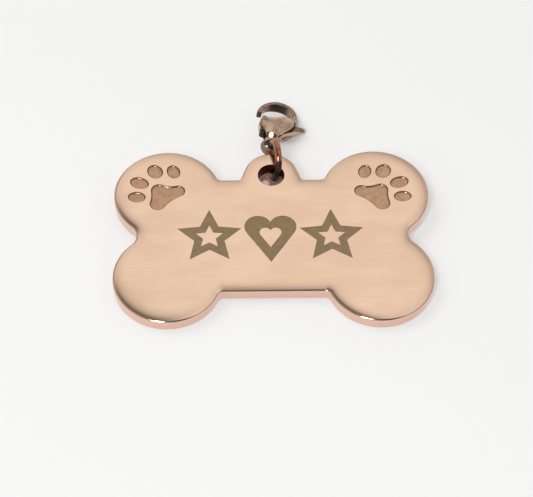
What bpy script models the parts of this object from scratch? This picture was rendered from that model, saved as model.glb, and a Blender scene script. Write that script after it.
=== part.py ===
"""A bone-shaped collar tag with its jump ring and lobster clasp, as separate pieces.

The tag lies in the XY plane with its plain back at z = 0 and its face up. The ring stands through
the hole in the tab, and the clasp hangs from the ring's far side. Lengths are in metres.
"""

from dataclasses import dataclass
from math import atan2, ceil, cos, hypot, pi, radians, sin, sqrt

import bmesh
import bpy
from mathutils import Matrix, Vector

MM = 0.001

# Tag plate
TAG_THICKNESS = 2.2 * MM
TAG_EDGE_ROUND = 0.22 * MM
LOBE_RADIUS = 8.5 * MM
LOBE_SPACING_X = 33.0 * MM
LOBE_SPACING_Y = 16.0 * MM
WAIST_ROUND = 2.2 * MM
BAR_WIDTH = 21.2 * MM
BAR_ROUND = 1.0 * MM

# Tab and its hole, above the bar
TAB_RADIUS = 4.3 * MM
TAB_RISE = 1.2 * MM
TAB_FLARE = radians(20)
TAB_ROUND = 0.5 * MM
HOLE_RADIUS = 2.05 * MM
HOLE_DROP = 0.2 * MM

# Paw prints sunk in the two upper lobes
PAW_DEPTH = 0.22 * MM
PAW_LEFT_X = 18.3 * MM
PAW_LEFT_Y = 8.95 * MM
PAW_RIGHT_X = 17.72 * MM
PAW_RIGHT_Y = 8.75 * MM
PAW_WALL_DRAFT = 0.06 * MM

# Jump ring
RING_WIRE = 1.1 * MM
RING_INNER_RADIUS = 2.35 * MM
RING_SLIT = 0.14 * MM
RING_PLAY = 0.12 * MM
RING_YAW = radians(8)
RING_LEAN = radians(10)
RING_SHIFT_X = 0.56 * MM
RING_SHIFT_Y = 0.1 * MM
RING_SLIT_ANGLE = radians(215)

# Clasp: the eye's centre is its origin, V runs to the hook and W stands off its front
EYE_RADIUS = 1.6 * MM
EYE_PLAY = 1.3 * MM
EYE_SLACK = 0.3 * MM
EYE_THICKNESS = 1.4 * MM
CLASP_EDGE_ROUND = 0.2 * MM
SEAM_DEPTH = 0.13 * MM
SEAM_WIDTH = 0.13 * MM
SEAM_OFFSET = 0.3 * MM
NECK_WIDTH = 1.7 * MM
NECK_U = -0.15 * MM
NECK_V = 2.0 * MM
BELLY_RIGHT_RADIUS = 1.6 * MM
BELLY_RIGHT_U = 1.55 * MM
BELLY_RIGHT_V = 5.6 * MM
BELLY_LEFT_RADIUS = 1.1 * MM
BELLY_LEFT_U = 1.3 * MM
BELLY_LEFT_V = 5.1 * MM
BELLY_EDGE_THICKNESS = 2.35 * MM
BELLY_THICKNESS = 3.1 * MM
HOOK_U = 0.15 * MM
HOOK_V = 7.7 * MM
HOOK_INNER_RADIUS = 2.42 * MM
HOOK_BAND = 0.9 * MM
HOOK_THICKNESS = 1.8 * MM
HOOK_TIP_THICKNESS = 1.1 * MM
HOOK_ROUND = 0.28 * MM
HOOK_START = radians(-28)
HOOK_END = radians(182)

# Where the clasp lies: its swing on the ring, its slope down and away, and its roll
EYE_ON_RING = radians(-10)
CLASP_TURN = radians(-8)
CLASP_SLOPE = radians(-13)
CLASP_ROLL = radians(7)

# Lever, its slot, pin and spring
LEVER_THICKNESS = 1.2 * MM
LEVER_SIDE_PLAY = 0.11 * MM
LEVER_EDGE_ROUND = 0.12 * MM
PIVOT_U = 0.9 * MM
PIVOT_V = 4.0 * MM
HUB_RADIUS = 1.0 * MM
NUB_RADIUS = 0.7 * MM
NUB_REACH_U = 4.42 * MM
NUB_V = 5.65 * MM
GATE_RADIUS = 0.42 * MM
GATE_PLAY = 0.15 * MM
GATE_ANGLE = radians(186)
SHOULDER_RADIUS = 0.8 * MM
SHOULDER_U = 2.3 * MM
SHOULDER_V = 5.75 * MM
HEEL_RADIUS = 0.8 * MM
HEEL_U = -1.15 * MM
HEEL_V = 2.95 * MM
ARM_RADIUS = 1.15 * MM
ARM_U = -1.38 * MM
ARM_V = 4.9 * MM
SLOT_FLOOR_V = 1.95 * MM
SLOT_EDGE_PLAY = 0.17 * MM
RIVET_RADIUS = 0.4 * MM
RIVET_PLAY = 0.07 * MM
RIVET_PROUD = 0.06 * MM
SPRING_STRIP = 0.16 * MM
SPRING_WIDTH = 0.9 * MM
SPRING_GAP = 0.12 * MM
SPRING_TIP = 0.3 * MM

# Facets
ARC_STEP = radians(9)
FINE_STEP = radians(15)
RING_STEPS = 44
WIRE_SIDES = 14
HOOK_STEPS = 26

HOLE_Y = BAR_WIDTH / 2 + TAB_RISE - HOLE_DROP
TAB_Y = BAR_WIDTH / 2 + TAB_RISE
TAB_TOP_Y = TAB_Y + TAB_RADIUS
RING_RADIUS = RING_INNER_RADIUS + RING_WIRE / 2


@dataclass(frozen=True)
class Disc:
    """A round lobe of an outline, and the radius of the hollow that leads to the next lobe."""

    u: float
    v: float
    radius: float
    hollow: float


def clear_scene() -> None:
    """Removes the objects that a new file starts with."""
    for item in list(bpy.data.objects):
        bpy.data.objects.remove(item, do_unlink=True)


def metal(name: str, colour: tuple, roughness: float):
    """A plain metal material."""
    material = bpy.data.materials.new(name)
    material.use_nodes = True
    shader = material.node_tree.nodes["Principled BSDF"]
    shader.inputs["Base Color"].default_value = (*colour, 1.0)
    shader.inputs["Metallic"].default_value = 1.0
    shader.inputs["Roughness"].default_value = roughness
    return material


def arc(centre_u, centre_v, radius, start, end, step=ARC_STEP):
    """Points along an arc, its two ends included."""
    count = max(2, ceil(abs(end - start) / step))
    angles = [start + (end - start) * i / count for i in range(count + 1)]
    return [Vector((centre_u + radius * cos(a), centre_v + radius * sin(a))) for a in angles]


def without_doubles(points, least=0.004 * MM):
    """The closed outline without points that repeat the one before."""
    kept = [p for i, p in enumerate(points) if (p - points[i - 1]).length > least]
    return kept


def blended_outline(discs, step=FINE_STEP):
    """A closed outline, anticlockwise, round discs that hollow arcs join on their outer side."""
    joins = []
    for i, disc in enumerate(discs):
        other = discs[(i + 1) % len(discs)]
        along = Vector((other.u - disc.u, other.v - disc.v))
        span = along.length
        near, far = disc.radius + disc.hollow, other.radius + disc.hollow
        foot = (near**2 - far**2 + span**2) / (2 * span)
        rise = sqrt(max(near**2 - foot**2, 0.0))
        along.normalize()
        outward = Vector((along.y, -along.x))
        centre = Vector((disc.u, disc.v)) + along * foot + outward * rise
        leave = atan2(centre.y - disc.v, centre.x - disc.u)
        reach = atan2(centre.y - other.v, centre.x - other.u)
        joins.append((centre, disc.hollow, leave, reach))
    points = []
    for i, disc in enumerate(discs):
        arrive, (centre, hollow, leave, reach) = joins[i - 1][3], joins[i]
        while leave < arrive:
            leave += 2 * pi
        points += arc(disc.u, disc.v, disc.radius, arrive, leave, step)
        start, end = leave + pi, reach + pi
        while end > start:
            end -= 2 * pi
        while end < start - 2 * pi:
            end += 2 * pi
        points += arc(centre.x, centre.y, hollow, start, end, step)
    return without_doubles(points)


def inset_outline(points, distance):
    """The outline moved inwards by a small distance, along the mean normal of each corner."""
    if distance == 0:
        return [p.copy() for p in points]
    moved = []
    for i, point in enumerate(points):
        before = (point - points[i - 1]).normalized()
        after = (points[(i + 1) % len(points)] - point).normalized()
        mean = (before + after).normalized()
        inward = Vector((-mean.y, mean.x))
        moved.append(point + inward * distance / max(0.5, inward.dot(Vector((-after.y, after.x)))))
    return moved


def stacked_mesh(name: str, outline, levels, centre=(0.0, 0.0)):
    """A closed solid through copies of an outline. A level is (height, inset, scale about centre)."""
    shape = bmesh.new()
    middle = Vector(centre)
    rings = []
    for height, inset, scale in levels:
        ring = [middle + (p - middle) * scale for p in inset_outline(outline, inset)]
        rings.append([shape.verts.new((p.x, p.y, height)) for p in ring])
    for low, high in zip(rings, rings[1:]):
        for i in range(len(low)):
            shape.faces.new((low[i - 1], low[i], high[i], high[i - 1]))
    shape.faces.new(rings[0][::-1])
    shape.faces.new(rings[-1])
    bmesh.ops.recalc_face_normals(shape, faces=shape.faces)
    mesh = bpy.data.meshes.new(name)
    shape.to_mesh(mesh)
    shape.free()
    return mesh


def add_object(name: str, mesh, material=None, parent=None, matrix=None, smooth=True):
    """An object with its mesh, placed under its parent."""
    item = bpy.data.objects.new(name, mesh)
    bpy.context.scene.collection.objects.link(item)
    if material:
        mesh.materials.append(material)
    if smooth:
        mesh.shade_smooth()
        mesh.set_sharp_from_angle(angle=radians(32))
    if parent:
        item.parent = parent
    if matrix:
        item.matrix_local = matrix
    return item


def add_helper(name: str, mesh, parent=None, matrix=None):
    """A cutter or an added form, which isn't a piece of its own."""
    item = add_object(name, mesh, parent=parent, matrix=matrix, smooth=False)
    item.hide_render = True
    item.display_type = "WIRE"
    return item


def boolean(item, helper, operation="DIFFERENCE") -> None:
    """Cuts a helper from a piece, or joins it on."""
    modifier = item.modifiers.new(helper.name, "BOOLEAN")
    modifier.object = helper
    modifier.operation = operation
    modifier.solver = "EXACT"


def rounded_levels(thickness, edge, base=0.0):
    """Levels of a flat plate with rounded edges above and below."""
    turns = [radians(a) for a in (0, 30, 60, 90)]
    low = [(base + edge * (1 - sin(a)), edge * (1 - cos(a))) for a in turns][::-1]
    high = [(base + thickness - edge * (1 - sin(a)), edge * (1 - cos(a))) for a in turns]
    return [(height, inset, 1.0) for height, inset in low + high]


def half_tag_outline():
    """The tag's right half, from the top of its tab down to the middle of its lower edge."""
    lobe_u, lobe_v, bar = LOBE_SPACING_X / 2, LOBE_SPACING_Y / 2, BAR_WIDTH / 2
    corner_v = bar + TAB_ROUND
    corner_u = (TAB_RADIUS + TAB_ROUND - (corner_v - TAB_Y) * sin(TAB_FLARE)) / cos(TAB_FLARE)
    points = arc(0, TAB_Y, TAB_RADIUS, pi / 2, TAB_FLARE)
    points += arc(corner_u, corner_v, TAB_ROUND, pi + TAB_FLARE, 1.5 * pi, FINE_STEP)

    reach = LOBE_RADIUS + BAR_ROUND
    bar_v = bar + BAR_ROUND - lobe_v
    bar_u = lobe_u - sqrt(reach**2 - bar_v**2)
    bar_turn = atan2(bar_v, bar_u - lobe_u)
    points += arc(bar_u, bar + BAR_ROUND, BAR_ROUND, 1.5 * pi, 2 * pi + bar_turn - pi, FINE_STEP)

    waist_u = lobe_u + sqrt((LOBE_RADIUS + WAIST_ROUND) ** 2 - lobe_v**2)
    waist_turn = atan2(-lobe_v, waist_u - lobe_u)
    points += arc(lobe_u, lobe_v, LOBE_RADIUS, bar_turn, waist_turn)
    points += arc(waist_u, 0, WAIST_ROUND, pi + waist_turn, pi - waist_turn)
    points += arc(lobe_u, -lobe_v, LOBE_RADIUS, -waist_turn, -bar_turn)
    points += arc(bar_u, -bar - BAR_ROUND, BAR_ROUND, pi - bar_turn, pi / 2, FINE_STEP)
    return points


def tag_outline():
    """The whole tag, anticlockwise."""
    right = without_doubles(half_tag_outline())
    left = [Vector((-p.x, p.y)) for p in right if p.x > 0.01 * MM]
    return without_doubles(left + right[::-1])


def ellipse(centre_u, centre_v, half_length, half_width, turn, steps=22):
    """A toe's outline, anticlockwise."""
    points = []
    for i in range(steps):
        angle = 2 * pi * i / steps
        along, across = half_length * cos(angle), half_width * sin(angle)
        points.append(
            Vector((
                centre_u + along * cos(turn) - across * sin(turn),
                centre_v + along * sin(turn) + across * cos(turn),
            ))
        )
    return points


def paw_outlines():
    """The pad and four toes of the right-hand paw, about its own middle."""
    toes = (
        (-2.70, 3.45, 1.36, 1.06, 73),
        (0.25, 3.50, 1.44, 1.22, 60),
        (2.72, 1.25, 1.56, 1.12, 20),
        (3.12, -1.55, 1.42, 1.04, 4),
    )
    outlines = [
        ellipse(u * MM, v * MM, long * MM, wide * MM, radians(turn)) for u, v, long, wide, turn in toes
    ]
    pad = (
        Disc(-3.55 * MM, -0.35 * MM, 0.98 * MM, 14.0 * MM),
        Disc(-0.10 * MM, -3.00 * MM, 1.15 * MM, 7.0 * MM),
        Disc(-0.05 * MM, -0.05 * MM, 1.02 * MM, 6.0 * MM),
    )
    outlines.append(blended_outline(pad, ARC_STEP * 2))
    return outlines


def add_tag(material):
    """The plate with its hole and its two sunk paw prints."""
    edge = TAG_EDGE_ROUND
    tag = add_object(
        "tag_plate", stacked_mesh("tag_plate", tag_outline(), rounded_levels(TAG_THICKNESS, edge)), material
    )
    ring = arc(0, HOLE_Y, HOLE_RADIUS, 0, 2 * pi, FINE_STEP)[:-1]
    flare = edge * 0.6
    levels = (
        (-flare, -2 * flare, 1.0),
        (flare, 0.0, 1.0),
        (TAG_THICKNESS - flare, 0.0, 1.0),
        (TAG_THICKNESS + flare, -2 * flare, 1.0),
    )
    boolean(tag, add_helper("cut_hole", stacked_mesh("cut_hole", ring, levels)))
    floor = TAG_THICKNESS - PAW_DEPTH
    for side, x, y in ((-1, PAW_LEFT_X, PAW_LEFT_Y), (1, PAW_RIGHT_X, PAW_RIGHT_Y)):
        for i, outline in enumerate(paw_outlines()):
            placed = [Vector((side * (x + p.x), y + p.y)) for p in outline]
            placed = placed if side > 0 else placed[::-1]
            walls = (
                (floor, PAW_WALL_DRAFT, 1.0),
                (TAG_THICKNESS, 0.0, 1.0),
                (TAG_THICKNESS + PAW_DEPTH, -PAW_WALL_DRAFT, 1.0),
            )
            name = f"cut_paw_{'left' if side < 0 else 'right'}_{i}"
            boolean(tag, add_helper(name, stacked_mesh(name, placed, walls)))
    return tag


def ring_centre() -> Vector:
    """Where the ring's centre lies when the tag rests on its wire."""
    band_low, band_high = HOLE_Y + HOLE_RADIUS, TAB_TOP_Y
    half_band = (band_high - band_low) / 2 / cos(RING_YAW) + RING_SHIFT_Y
    half_plate = TAG_THICKNESS / 2 / cos(RING_LEAN)
    free = RING_INNER_RADIUS - RING_PLAY
    lift = sqrt(max(free**2 - half_band**2, half_plate**2)) - half_plate
    middle = (band_low + band_high) / 2 + RING_SHIFT_Y
    return Vector((RING_SHIFT_X, middle, TAG_THICKNESS / 2 + lift))


def ring_turn() -> Matrix:
    """The ring's stand: X is its axis, Y points away over the tab, Z up."""
    return Matrix.Rotation(RING_YAW, 4, "Z") @ Matrix.Rotation(RING_LEAN, 4, "Y")


def add_ring(material):
    """The wire ring, with the slit where its ends meet."""
    holder = bpy.data.objects.new("ring_axis", None)
    bpy.context.scene.collection.objects.link(holder)
    holder.matrix_world = Matrix.Translation(ring_centre()) @ ring_turn()
    shape = bmesh.new()
    slit = RING_SLIT / RING_RADIUS
    for angle in [2 * pi * i / WIRE_SIDES for i in range(WIRE_SIDES)]:
        shape.verts.new((RING_WIRE / 2 * sin(angle), RING_RADIUS + RING_WIRE / 2 * cos(angle), 0))
    section = shape.faces.new(shape.verts)
    bmesh.ops.rotate(shape, verts=shape.verts, matrix=Matrix.Rotation(RING_SLIT_ANGLE + slit / 2, 3, "X"))
    bmesh.ops.spin(
        shape,
        geom=list(section.edges) + list(shape.verts) + [section],
        axis=(1, 0, 0),
        angle=2 * pi - slit,
        steps=RING_STEPS,
        use_duplicate=False,
    )
    bmesh.ops.recalc_face_normals(shape, faces=shape.faces)
    mesh = bpy.data.meshes.new("jump_ring")
    shape.to_mesh(mesh)
    shape.free()
    ring = add_object("jump_ring", mesh, material, parent=holder)
    return holder, ring


def clasp_frame() -> Matrix:
    """The clasp's place: its eye's centre on the ring's far side, V down and away, W up."""
    reach = RING_RADIUS + EYE_SLACK
    on_ring = Vector((0, reach * cos(EYE_ON_RING), reach * sin(EYE_ON_RING)))
    eye = ring_centre() + ring_turn().to_3x3() @ on_ring
    turn = Matrix.Rotation(CLASP_TURN, 4, "Z") @ Matrix.Rotation(CLASP_SLOPE, 4, "X")
    return Matrix.Translation(eye) @ turn @ Matrix.Rotation(CLASP_ROLL, 4, "Y")


def belly_outline():
    """The shield-shaped middle of the clasp, anticlockwise."""
    neck = NECK_WIDTH / 2
    discs = (
        Disc(NECK_U, NECK_V, neck, 14.0 * MM),
        Disc(BELLY_RIGHT_U, BELLY_RIGHT_V, BELLY_RIGHT_RADIUS, 8.0 * MM),
        Disc(-BELLY_LEFT_U, BELLY_LEFT_V, BELLY_LEFT_RADIUS, 12.0 * MM),
    )
    return blended_outline(discs)


def eye_outline():
    """The eye and its neck, anticlockwise."""
    root = NECK_WIDTH / 2 * 0.9
    discs = (
        Disc(0, 0, EYE_RADIUS, 2.2 * MM),
        Disc(NECK_U, NECK_V + root, root, 2.2 * MM),
    )
    return blended_outline(discs)


def seamed_levels(thickness, edge, seam_offset, seam_width, seam_depth):
    """Levels of a plate whose rim has two fine seams, one each side of its middle."""
    half = thickness / 2
    lip = seam_width / 3
    high = [
        (seam_offset - seam_width / 2, 0.0),
        (seam_offset - lip / 2, seam_depth),
        (seam_offset + lip / 2, seam_depth),
        (seam_offset + seam_width / 2, 0.0),
        (half - edge, 0.0),
        (half - edge * 0.3, edge * 0.3),
        (half, edge),
    ]
    low = [(-height, inset) for height, inset in high[::-1]]
    return [(height, inset, 1.0) for height, inset in low + high]


def crowned_levels(edge_thickness, full_thickness, edge):
    """Levels of a shield that swells from its rim to its middle, front and back."""
    rim = edge_thickness / 2
    swell = full_thickness / 2 - rim
    high = [(rim - edge, 0.0, 1.0), (rim - edge * 0.3, edge * 0.3, 1.0), (rim, edge, 1.0)]
    for scale in (0.86, 0.68, 0.48, 0.26):
        high.append((rim + swell * (1 - scale**2.2), edge, scale))
    low = [(-height, inset, scale) for height, inset, scale in high[::-1]]
    return low + high


def hook_mesh():
    """The hook: a rounded bar bent on an arc, from the belly's shoulder over to its tip."""
    shape = bmesh.new()
    outer = HOOK_INNER_RADIUS + HOOK_BAND
    half, soft = HOOK_THICKNESS / 2, HOOK_ROUND
    corners = (
        (outer - soft, half - soft, 0),
        (HOOK_INNER_RADIUS + soft, half - soft, 90),
        (HOOK_INNER_RADIUS + soft, -half + soft, 180),
        (outer - soft, -half + soft, 270),
    )
    for radius, height, turn in corners:
        for step in (0, 30, 60, 90):
            angle = radians(turn + step)
            shape.verts.new((radius + soft * cos(angle), 0, height + soft * sin(angle)))
    section = shape.faces.new(shape.verts)
    bmesh.ops.rotate(shape, verts=shape.verts, matrix=Matrix.Rotation(HOOK_START, 3, "Z"))
    bmesh.ops.spin(
        shape,
        geom=list(section.edges) + list(shape.verts) + [section],
        axis=(0, 0, 1),
        angle=HOOK_END - HOOK_START,
        steps=HOOK_STEPS,
        use_duplicate=False,
    )
    for vertex in shape.verts:
        past_top = atan2(-vertex.co.x, vertex.co.y) / (HOOK_END - pi / 2)
        share = min(max(past_top, 0.0), 1.0)
        ease = share * share * (3 - 2 * share)
        vertex.co.z *= 1 - ease * (1 - HOOK_TIP_THICKNESS / HOOK_THICKNESS)
    bmesh.ops.translate(shape, verts=shape.verts, vec=(HOOK_U, HOOK_V, 0))
    bmesh.ops.recalc_face_normals(shape, faces=shape.faces)
    mesh = bpy.data.meshes.new("hook")
    shape.to_mesh(mesh)
    shape.free()
    return mesh


def slot_outline():
    """The slot between the cheeks, anticlockwise: open to both sides and up into the hook."""
    beyond = NUB_REACH_U + NUB_RADIUS
    right_top = SHOULDER_V + SHOULDER_RADIUS + SLOT_EDGE_PLAY
    shoulder = SHOULDER_U - SLOT_EDGE_PLAY
    top = HOOK_V - HOOK_INNER_RADIUS * 0.15
    corners = (
        (-beyond, SLOT_FLOOR_V),
        (beyond, SLOT_FLOOR_V),
        (beyond, right_top),
        (shoulder, right_top),
        (shoulder - SLOT_EDGE_PLAY * 3, top),
        (-beyond, top),
    )
    return [Vector(corner) for corner in corners]


def gate_place():
    """The middle of the gate's round end, just inside the hook's tip."""
    reach = HOOK_INNER_RADIUS - GATE_RADIUS - GATE_PLAY
    return HOOK_U + reach * cos(GATE_ANGLE), HOOK_V + reach * sin(GATE_ANGLE)


def lever_outline():
    """The rocking lever, anticlockwise: heel, hub, thumb nub, shoulder, gate and arm."""
    gate_u, gate_v = gate_place()
    discs = (
        Disc(HEEL_U, HEEL_V, HEEL_RADIUS, 2.0 * MM),
        Disc(PIVOT_U, PIVOT_V, HUB_RADIUS, 6.0 * MM),
        Disc(NUB_REACH_U, NUB_V, NUB_RADIUS, 3.0 * MM),
        Disc(SHOULDER_U, SHOULDER_V, SHOULDER_RADIUS, 6.0 * MM),
        Disc(gate_u, gate_v, GATE_RADIUS, 2.0 * MM),
        Disc(ARM_U, ARM_V, ARM_RADIUS, 4.0 * MM),
    )
    return blended_outline(discs)


def disc_mesh(name: str, radius, half_height, steps=28, dome=0.0):
    """A round bar along W, with its ends slightly domed where dome is given."""
    rim = [(-half_height, 0.0, 1.0), (half_height, 0.0, 1.0)]
    if dome:
        rim = [
            (-half_height - dome, 0.0, 0.45),
            (-half_height - dome * 0.6, 0.0, 0.8),
            *rim,
            (half_height + dome * 0.6, 0.0, 0.8),
            (half_height + dome, 0.0, 0.45),
        ]
    outline = arc(0, 0, radius, 0, 2 * pi, 2 * pi / steps)[:-1]
    return stacked_mesh(name, outline, rim)


def belly_height(u, v) -> float:
    """How far the crowned front stands off the middle at a point."""
    middle_u, middle_v = belly_middle()
    rim, swell = BELLY_EDGE_THICKNESS / 2, (BELLY_THICKNESS - BELLY_EDGE_THICKNESS) / 2
    reach = hypot(u - middle_u, v - middle_v) / hypot(BELLY_RIGHT_U, BELLY_RIGHT_V - NECK_V)
    return rim + swell * (1 - min(reach, 1.0) ** 2.2)


def belly_middle():
    """The middle that the belly's crown swells about."""
    return (BELLY_RIGHT_U - BELLY_LEFT_U) / 2, (BELLY_RIGHT_V + BELLY_LEFT_V + NECK_V) / 3


def add_clasp_body(material, holder):
    """The clasp's body: eye, neck, two cheeks with the slot between them, and the hook."""
    middle = belly_middle()
    belly = stacked_mesh(
        "clasp_body",
        belly_outline(),
        crowned_levels(BELLY_EDGE_THICKNESS, BELLY_THICKNESS, CLASP_EDGE_ROUND),
        middle,
    )
    body = add_object("clasp_body", belly, material, parent=holder)
    eye_levels = seamed_levels(EYE_THICKNESS, CLASP_EDGE_ROUND, SEAM_OFFSET, SEAM_WIDTH, SEAM_DEPTH)
    boolean(body, add_helper("join_eye", stacked_mesh("join_eye", eye_outline(), eye_levels), holder), "UNION")
    boolean(body, add_helper("join_hook", hook_mesh(), holder), "UNION")

    half_slot = LEVER_THICKNESS / 2 + LEVER_SIDE_PLAY
    slot = stacked_mesh("cut_slot", slot_outline(), ((-half_slot, 0, 1.0), (half_slot, 0, 1.0)))
    boolean(body, add_helper("cut_slot", slot, holder))

    eye_hole = RING_WIRE / 2 + EYE_PLAY / 2
    flare = CLASP_EDGE_ROUND
    half_eye = EYE_THICKNESS / 2
    hole_levels = (
        (-half_eye - flare, -flare * 1.4, 1.0),
        (-half_eye + flare, 0.0, 1.0),
        (half_eye - flare, 0.0, 1.0),
        (half_eye + flare, -flare * 1.4, 1.0),
    )
    ring = arc(0, 0, eye_hole, 0, 2 * pi, FINE_STEP)[:-1]
    boolean(body, add_helper("cut_eye", stacked_mesh("cut_eye", ring, hole_levels), holder))

    pivot = Matrix.Translation((PIVOT_U, PIVOT_V, 0))
    pin_hole = disc_mesh("cut_pivot", RIVET_RADIUS + RIVET_PLAY, BELLY_THICKNESS)
    boolean(body, add_helper("cut_pivot", pin_hole, holder, pivot))
    return body


def add_lever(material, holder):
    """The lever, with its origin on its pivot."""
    outline = [p - Vector((PIVOT_U, PIVOT_V)) for p in lever_outline()]
    levels = rounded_levels(LEVER_THICKNESS, LEVER_EDGE_ROUND, -LEVER_THICKNESS / 2)
    lever = add_object("clasp_lever", stacked_mesh("clasp_lever", outline, levels), material, parent=holder)
    bore = disc_mesh("cut_bore", RIVET_RADIUS + RIVET_PLAY, LEVER_THICKNESS)
    boolean(lever, add_helper("cut_bore", bore, holder))
    return lever


def add_rivet(material, holder):
    """The pin that the lever turns on, its ends just proud of the cheeks."""
    half = belly_height(PIVOT_U, PIVOT_V) + RIVET_PROUD
    mesh = disc_mesh("lever_rivet", RIVET_RADIUS, half - RIVET_PROUD, dome=RIVET_PROUD)
    return add_object("lever_rivet", mesh, material, parent=holder)


def spring_path():
    """The spring strip's middle line: a foot on the slot's floor, a bend and a tip below the nub's arm."""
    floor = SLOT_FLOOR_V + SPRING_GAP + SPRING_STRIP / 2
    reach = HUB_RADIUS + SPRING_GAP * 1.2 + SPRING_STRIP / 2
    foot = Vector((-0.3 * MM, floor))
    toe = Vector((0.35 * MM, floor))
    bends = arc(PIVOT_U, PIVOT_V, reach, radians(302), radians(322), radians(10))
    rise = Vector((-sin(radians(322)), cos(radians(322))))
    middle = (toe + bends[0]) / 2 + Vector((0.12 * MM, -0.1 * MM))
    return [foot, toe, middle, *bends, bends[-1] + rise * SPRING_TIP]


def add_spring(material, holder):
    """The bent strip that holds the gate shut."""
    path = spring_path()
    half = SPRING_STRIP / 2
    left, right = [], []
    for i, point in enumerate(path):
        before, after = path[max(i - 1, 0)], path[min(i + 1, len(path) - 1)]
        along = (after - before).normalized()
        side = Vector((-along.y, along.x)) * half
        left.append(point + side)
        right.append(point - side)
    outline = left + right[::-1]
    levels = ((-SPRING_WIDTH / 2, 0, 1.0), (SPRING_WIDTH / 2, 0, 1.0))
    return add_object("lever_spring", stacked_mesh("lever_spring", outline, levels), material, parent=holder)


def main() -> None:
    """Builds every piece."""
    clear_scene()
    rose = metal("rose_gold_plate", (0.82, 0.60, 0.46), 0.16)
    copper = metal("copper_wire", (0.55, 0.27, 0.18), 0.18)
    bronze = metal("bronze_clasp", (0.50, 0.38, 0.31), 0.16)
    steel = metal("spring_steel", (0.45, 0.42, 0.40), 0.3)
    add_tag(rose)
    add_ring(copper)
    clasp = bpy.data.objects.new("clasp_swivel", None)
    bpy.context.scene.collection.objects.link(clasp)
    clasp.matrix_world = clasp_frame()
    pivot = bpy.data.objects.new("lever_pivot", None)
    bpy.context.scene.collection.objects.link(pivot)
    pivot.parent = clasp
    pivot.matrix_local = Matrix.Translation((PIVOT_U, PIVOT_V, 0))
    add_clasp_body(bronze, clasp)
    add_lever(bronze, pivot)
    add_rivet(bronze, pivot)
    add_spring(steel, clasp)


main()
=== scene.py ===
"""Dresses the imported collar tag: a polished bone plate, a copper ring and a bronze clasp."""

import logging
from collections.abc import Callable
from dataclasses import dataclass
from enum import Enum
from math import acos, atan2, ceil, cos, pi, radians, sin, sqrt

import bmesh
import bpy
from mathutils import Matrix, Vector


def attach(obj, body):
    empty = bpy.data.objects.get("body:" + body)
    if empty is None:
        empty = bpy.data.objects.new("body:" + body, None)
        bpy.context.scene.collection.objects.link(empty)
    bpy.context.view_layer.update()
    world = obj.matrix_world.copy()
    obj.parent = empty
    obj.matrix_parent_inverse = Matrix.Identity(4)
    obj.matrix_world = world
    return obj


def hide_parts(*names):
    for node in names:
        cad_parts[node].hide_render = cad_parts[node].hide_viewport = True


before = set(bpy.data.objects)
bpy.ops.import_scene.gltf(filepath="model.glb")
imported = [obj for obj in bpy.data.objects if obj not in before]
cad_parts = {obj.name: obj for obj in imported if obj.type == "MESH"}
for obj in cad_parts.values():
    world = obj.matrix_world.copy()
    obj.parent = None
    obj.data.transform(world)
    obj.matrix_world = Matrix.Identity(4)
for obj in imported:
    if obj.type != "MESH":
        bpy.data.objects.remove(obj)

log = logging.getLogger("collar_tag")

MM = 0.001
ARC_STEP = radians(3)
CAST_STEP = 2 * ARC_STEP
FINE_STEP = radians(8)
EDGE_FACETS = 4
WELD = 0.004
MIRROR_WELD = 0.001
SLIVER = 0.001
CROWN_POWER = 2.2
FLARE_SPREAD = 1.4
LEVEL = 0.9
CREASE = radians(30)
# The mesh attribute that says how dark a piece is painted, mostly painted shade.
DARKENING = "darkening"

Pair = tuple[float, float]
Colour = tuple[float, float, float]
Place = tuple[float, float, float]


class Value:
    """A shader value. Arithmetic on it adds Math nodes to its tree."""

    def __init__(self, tree: "Tree", socket: bpy.types.NodeSocket) -> None:
        """Wraps one output socket of a node tree."""
        self.tree = tree
        self.socket = socket

    def __add__(self, other: "Value | float") -> "Value":
        """Adds two values."""
        return self.tree.math("ADD", self, other)

    def __radd__(self, other: float) -> "Value":
        """Adds a value to a number."""
        return self.tree.math("ADD", other, self)

    def __sub__(self, other: "Value | float") -> "Value":
        """Subtracts a value."""
        return self.tree.math("SUBTRACT", self, other)

    def __rsub__(self, other: float) -> "Value":
        """Subtracts a value from a number."""
        return self.tree.math("SUBTRACT", other, self)

    def __mul__(self, other: "Value | float") -> "Value":
        """Multiplies two values."""
        return self.tree.math("MULTIPLY", self, other)

    def __rmul__(self, other: float) -> "Value":
        """Multiplies a number by a value."""
        return self.tree.math("MULTIPLY", other, self)


@dataclass(frozen=True)
class Pattern:
    """A cloudy pattern: its cycles in a millimetre, its detail, and its stretch along each axis."""

    scale: float
    detail: float
    stretch: Place = (1.0, 1.0, 1.0)


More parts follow.
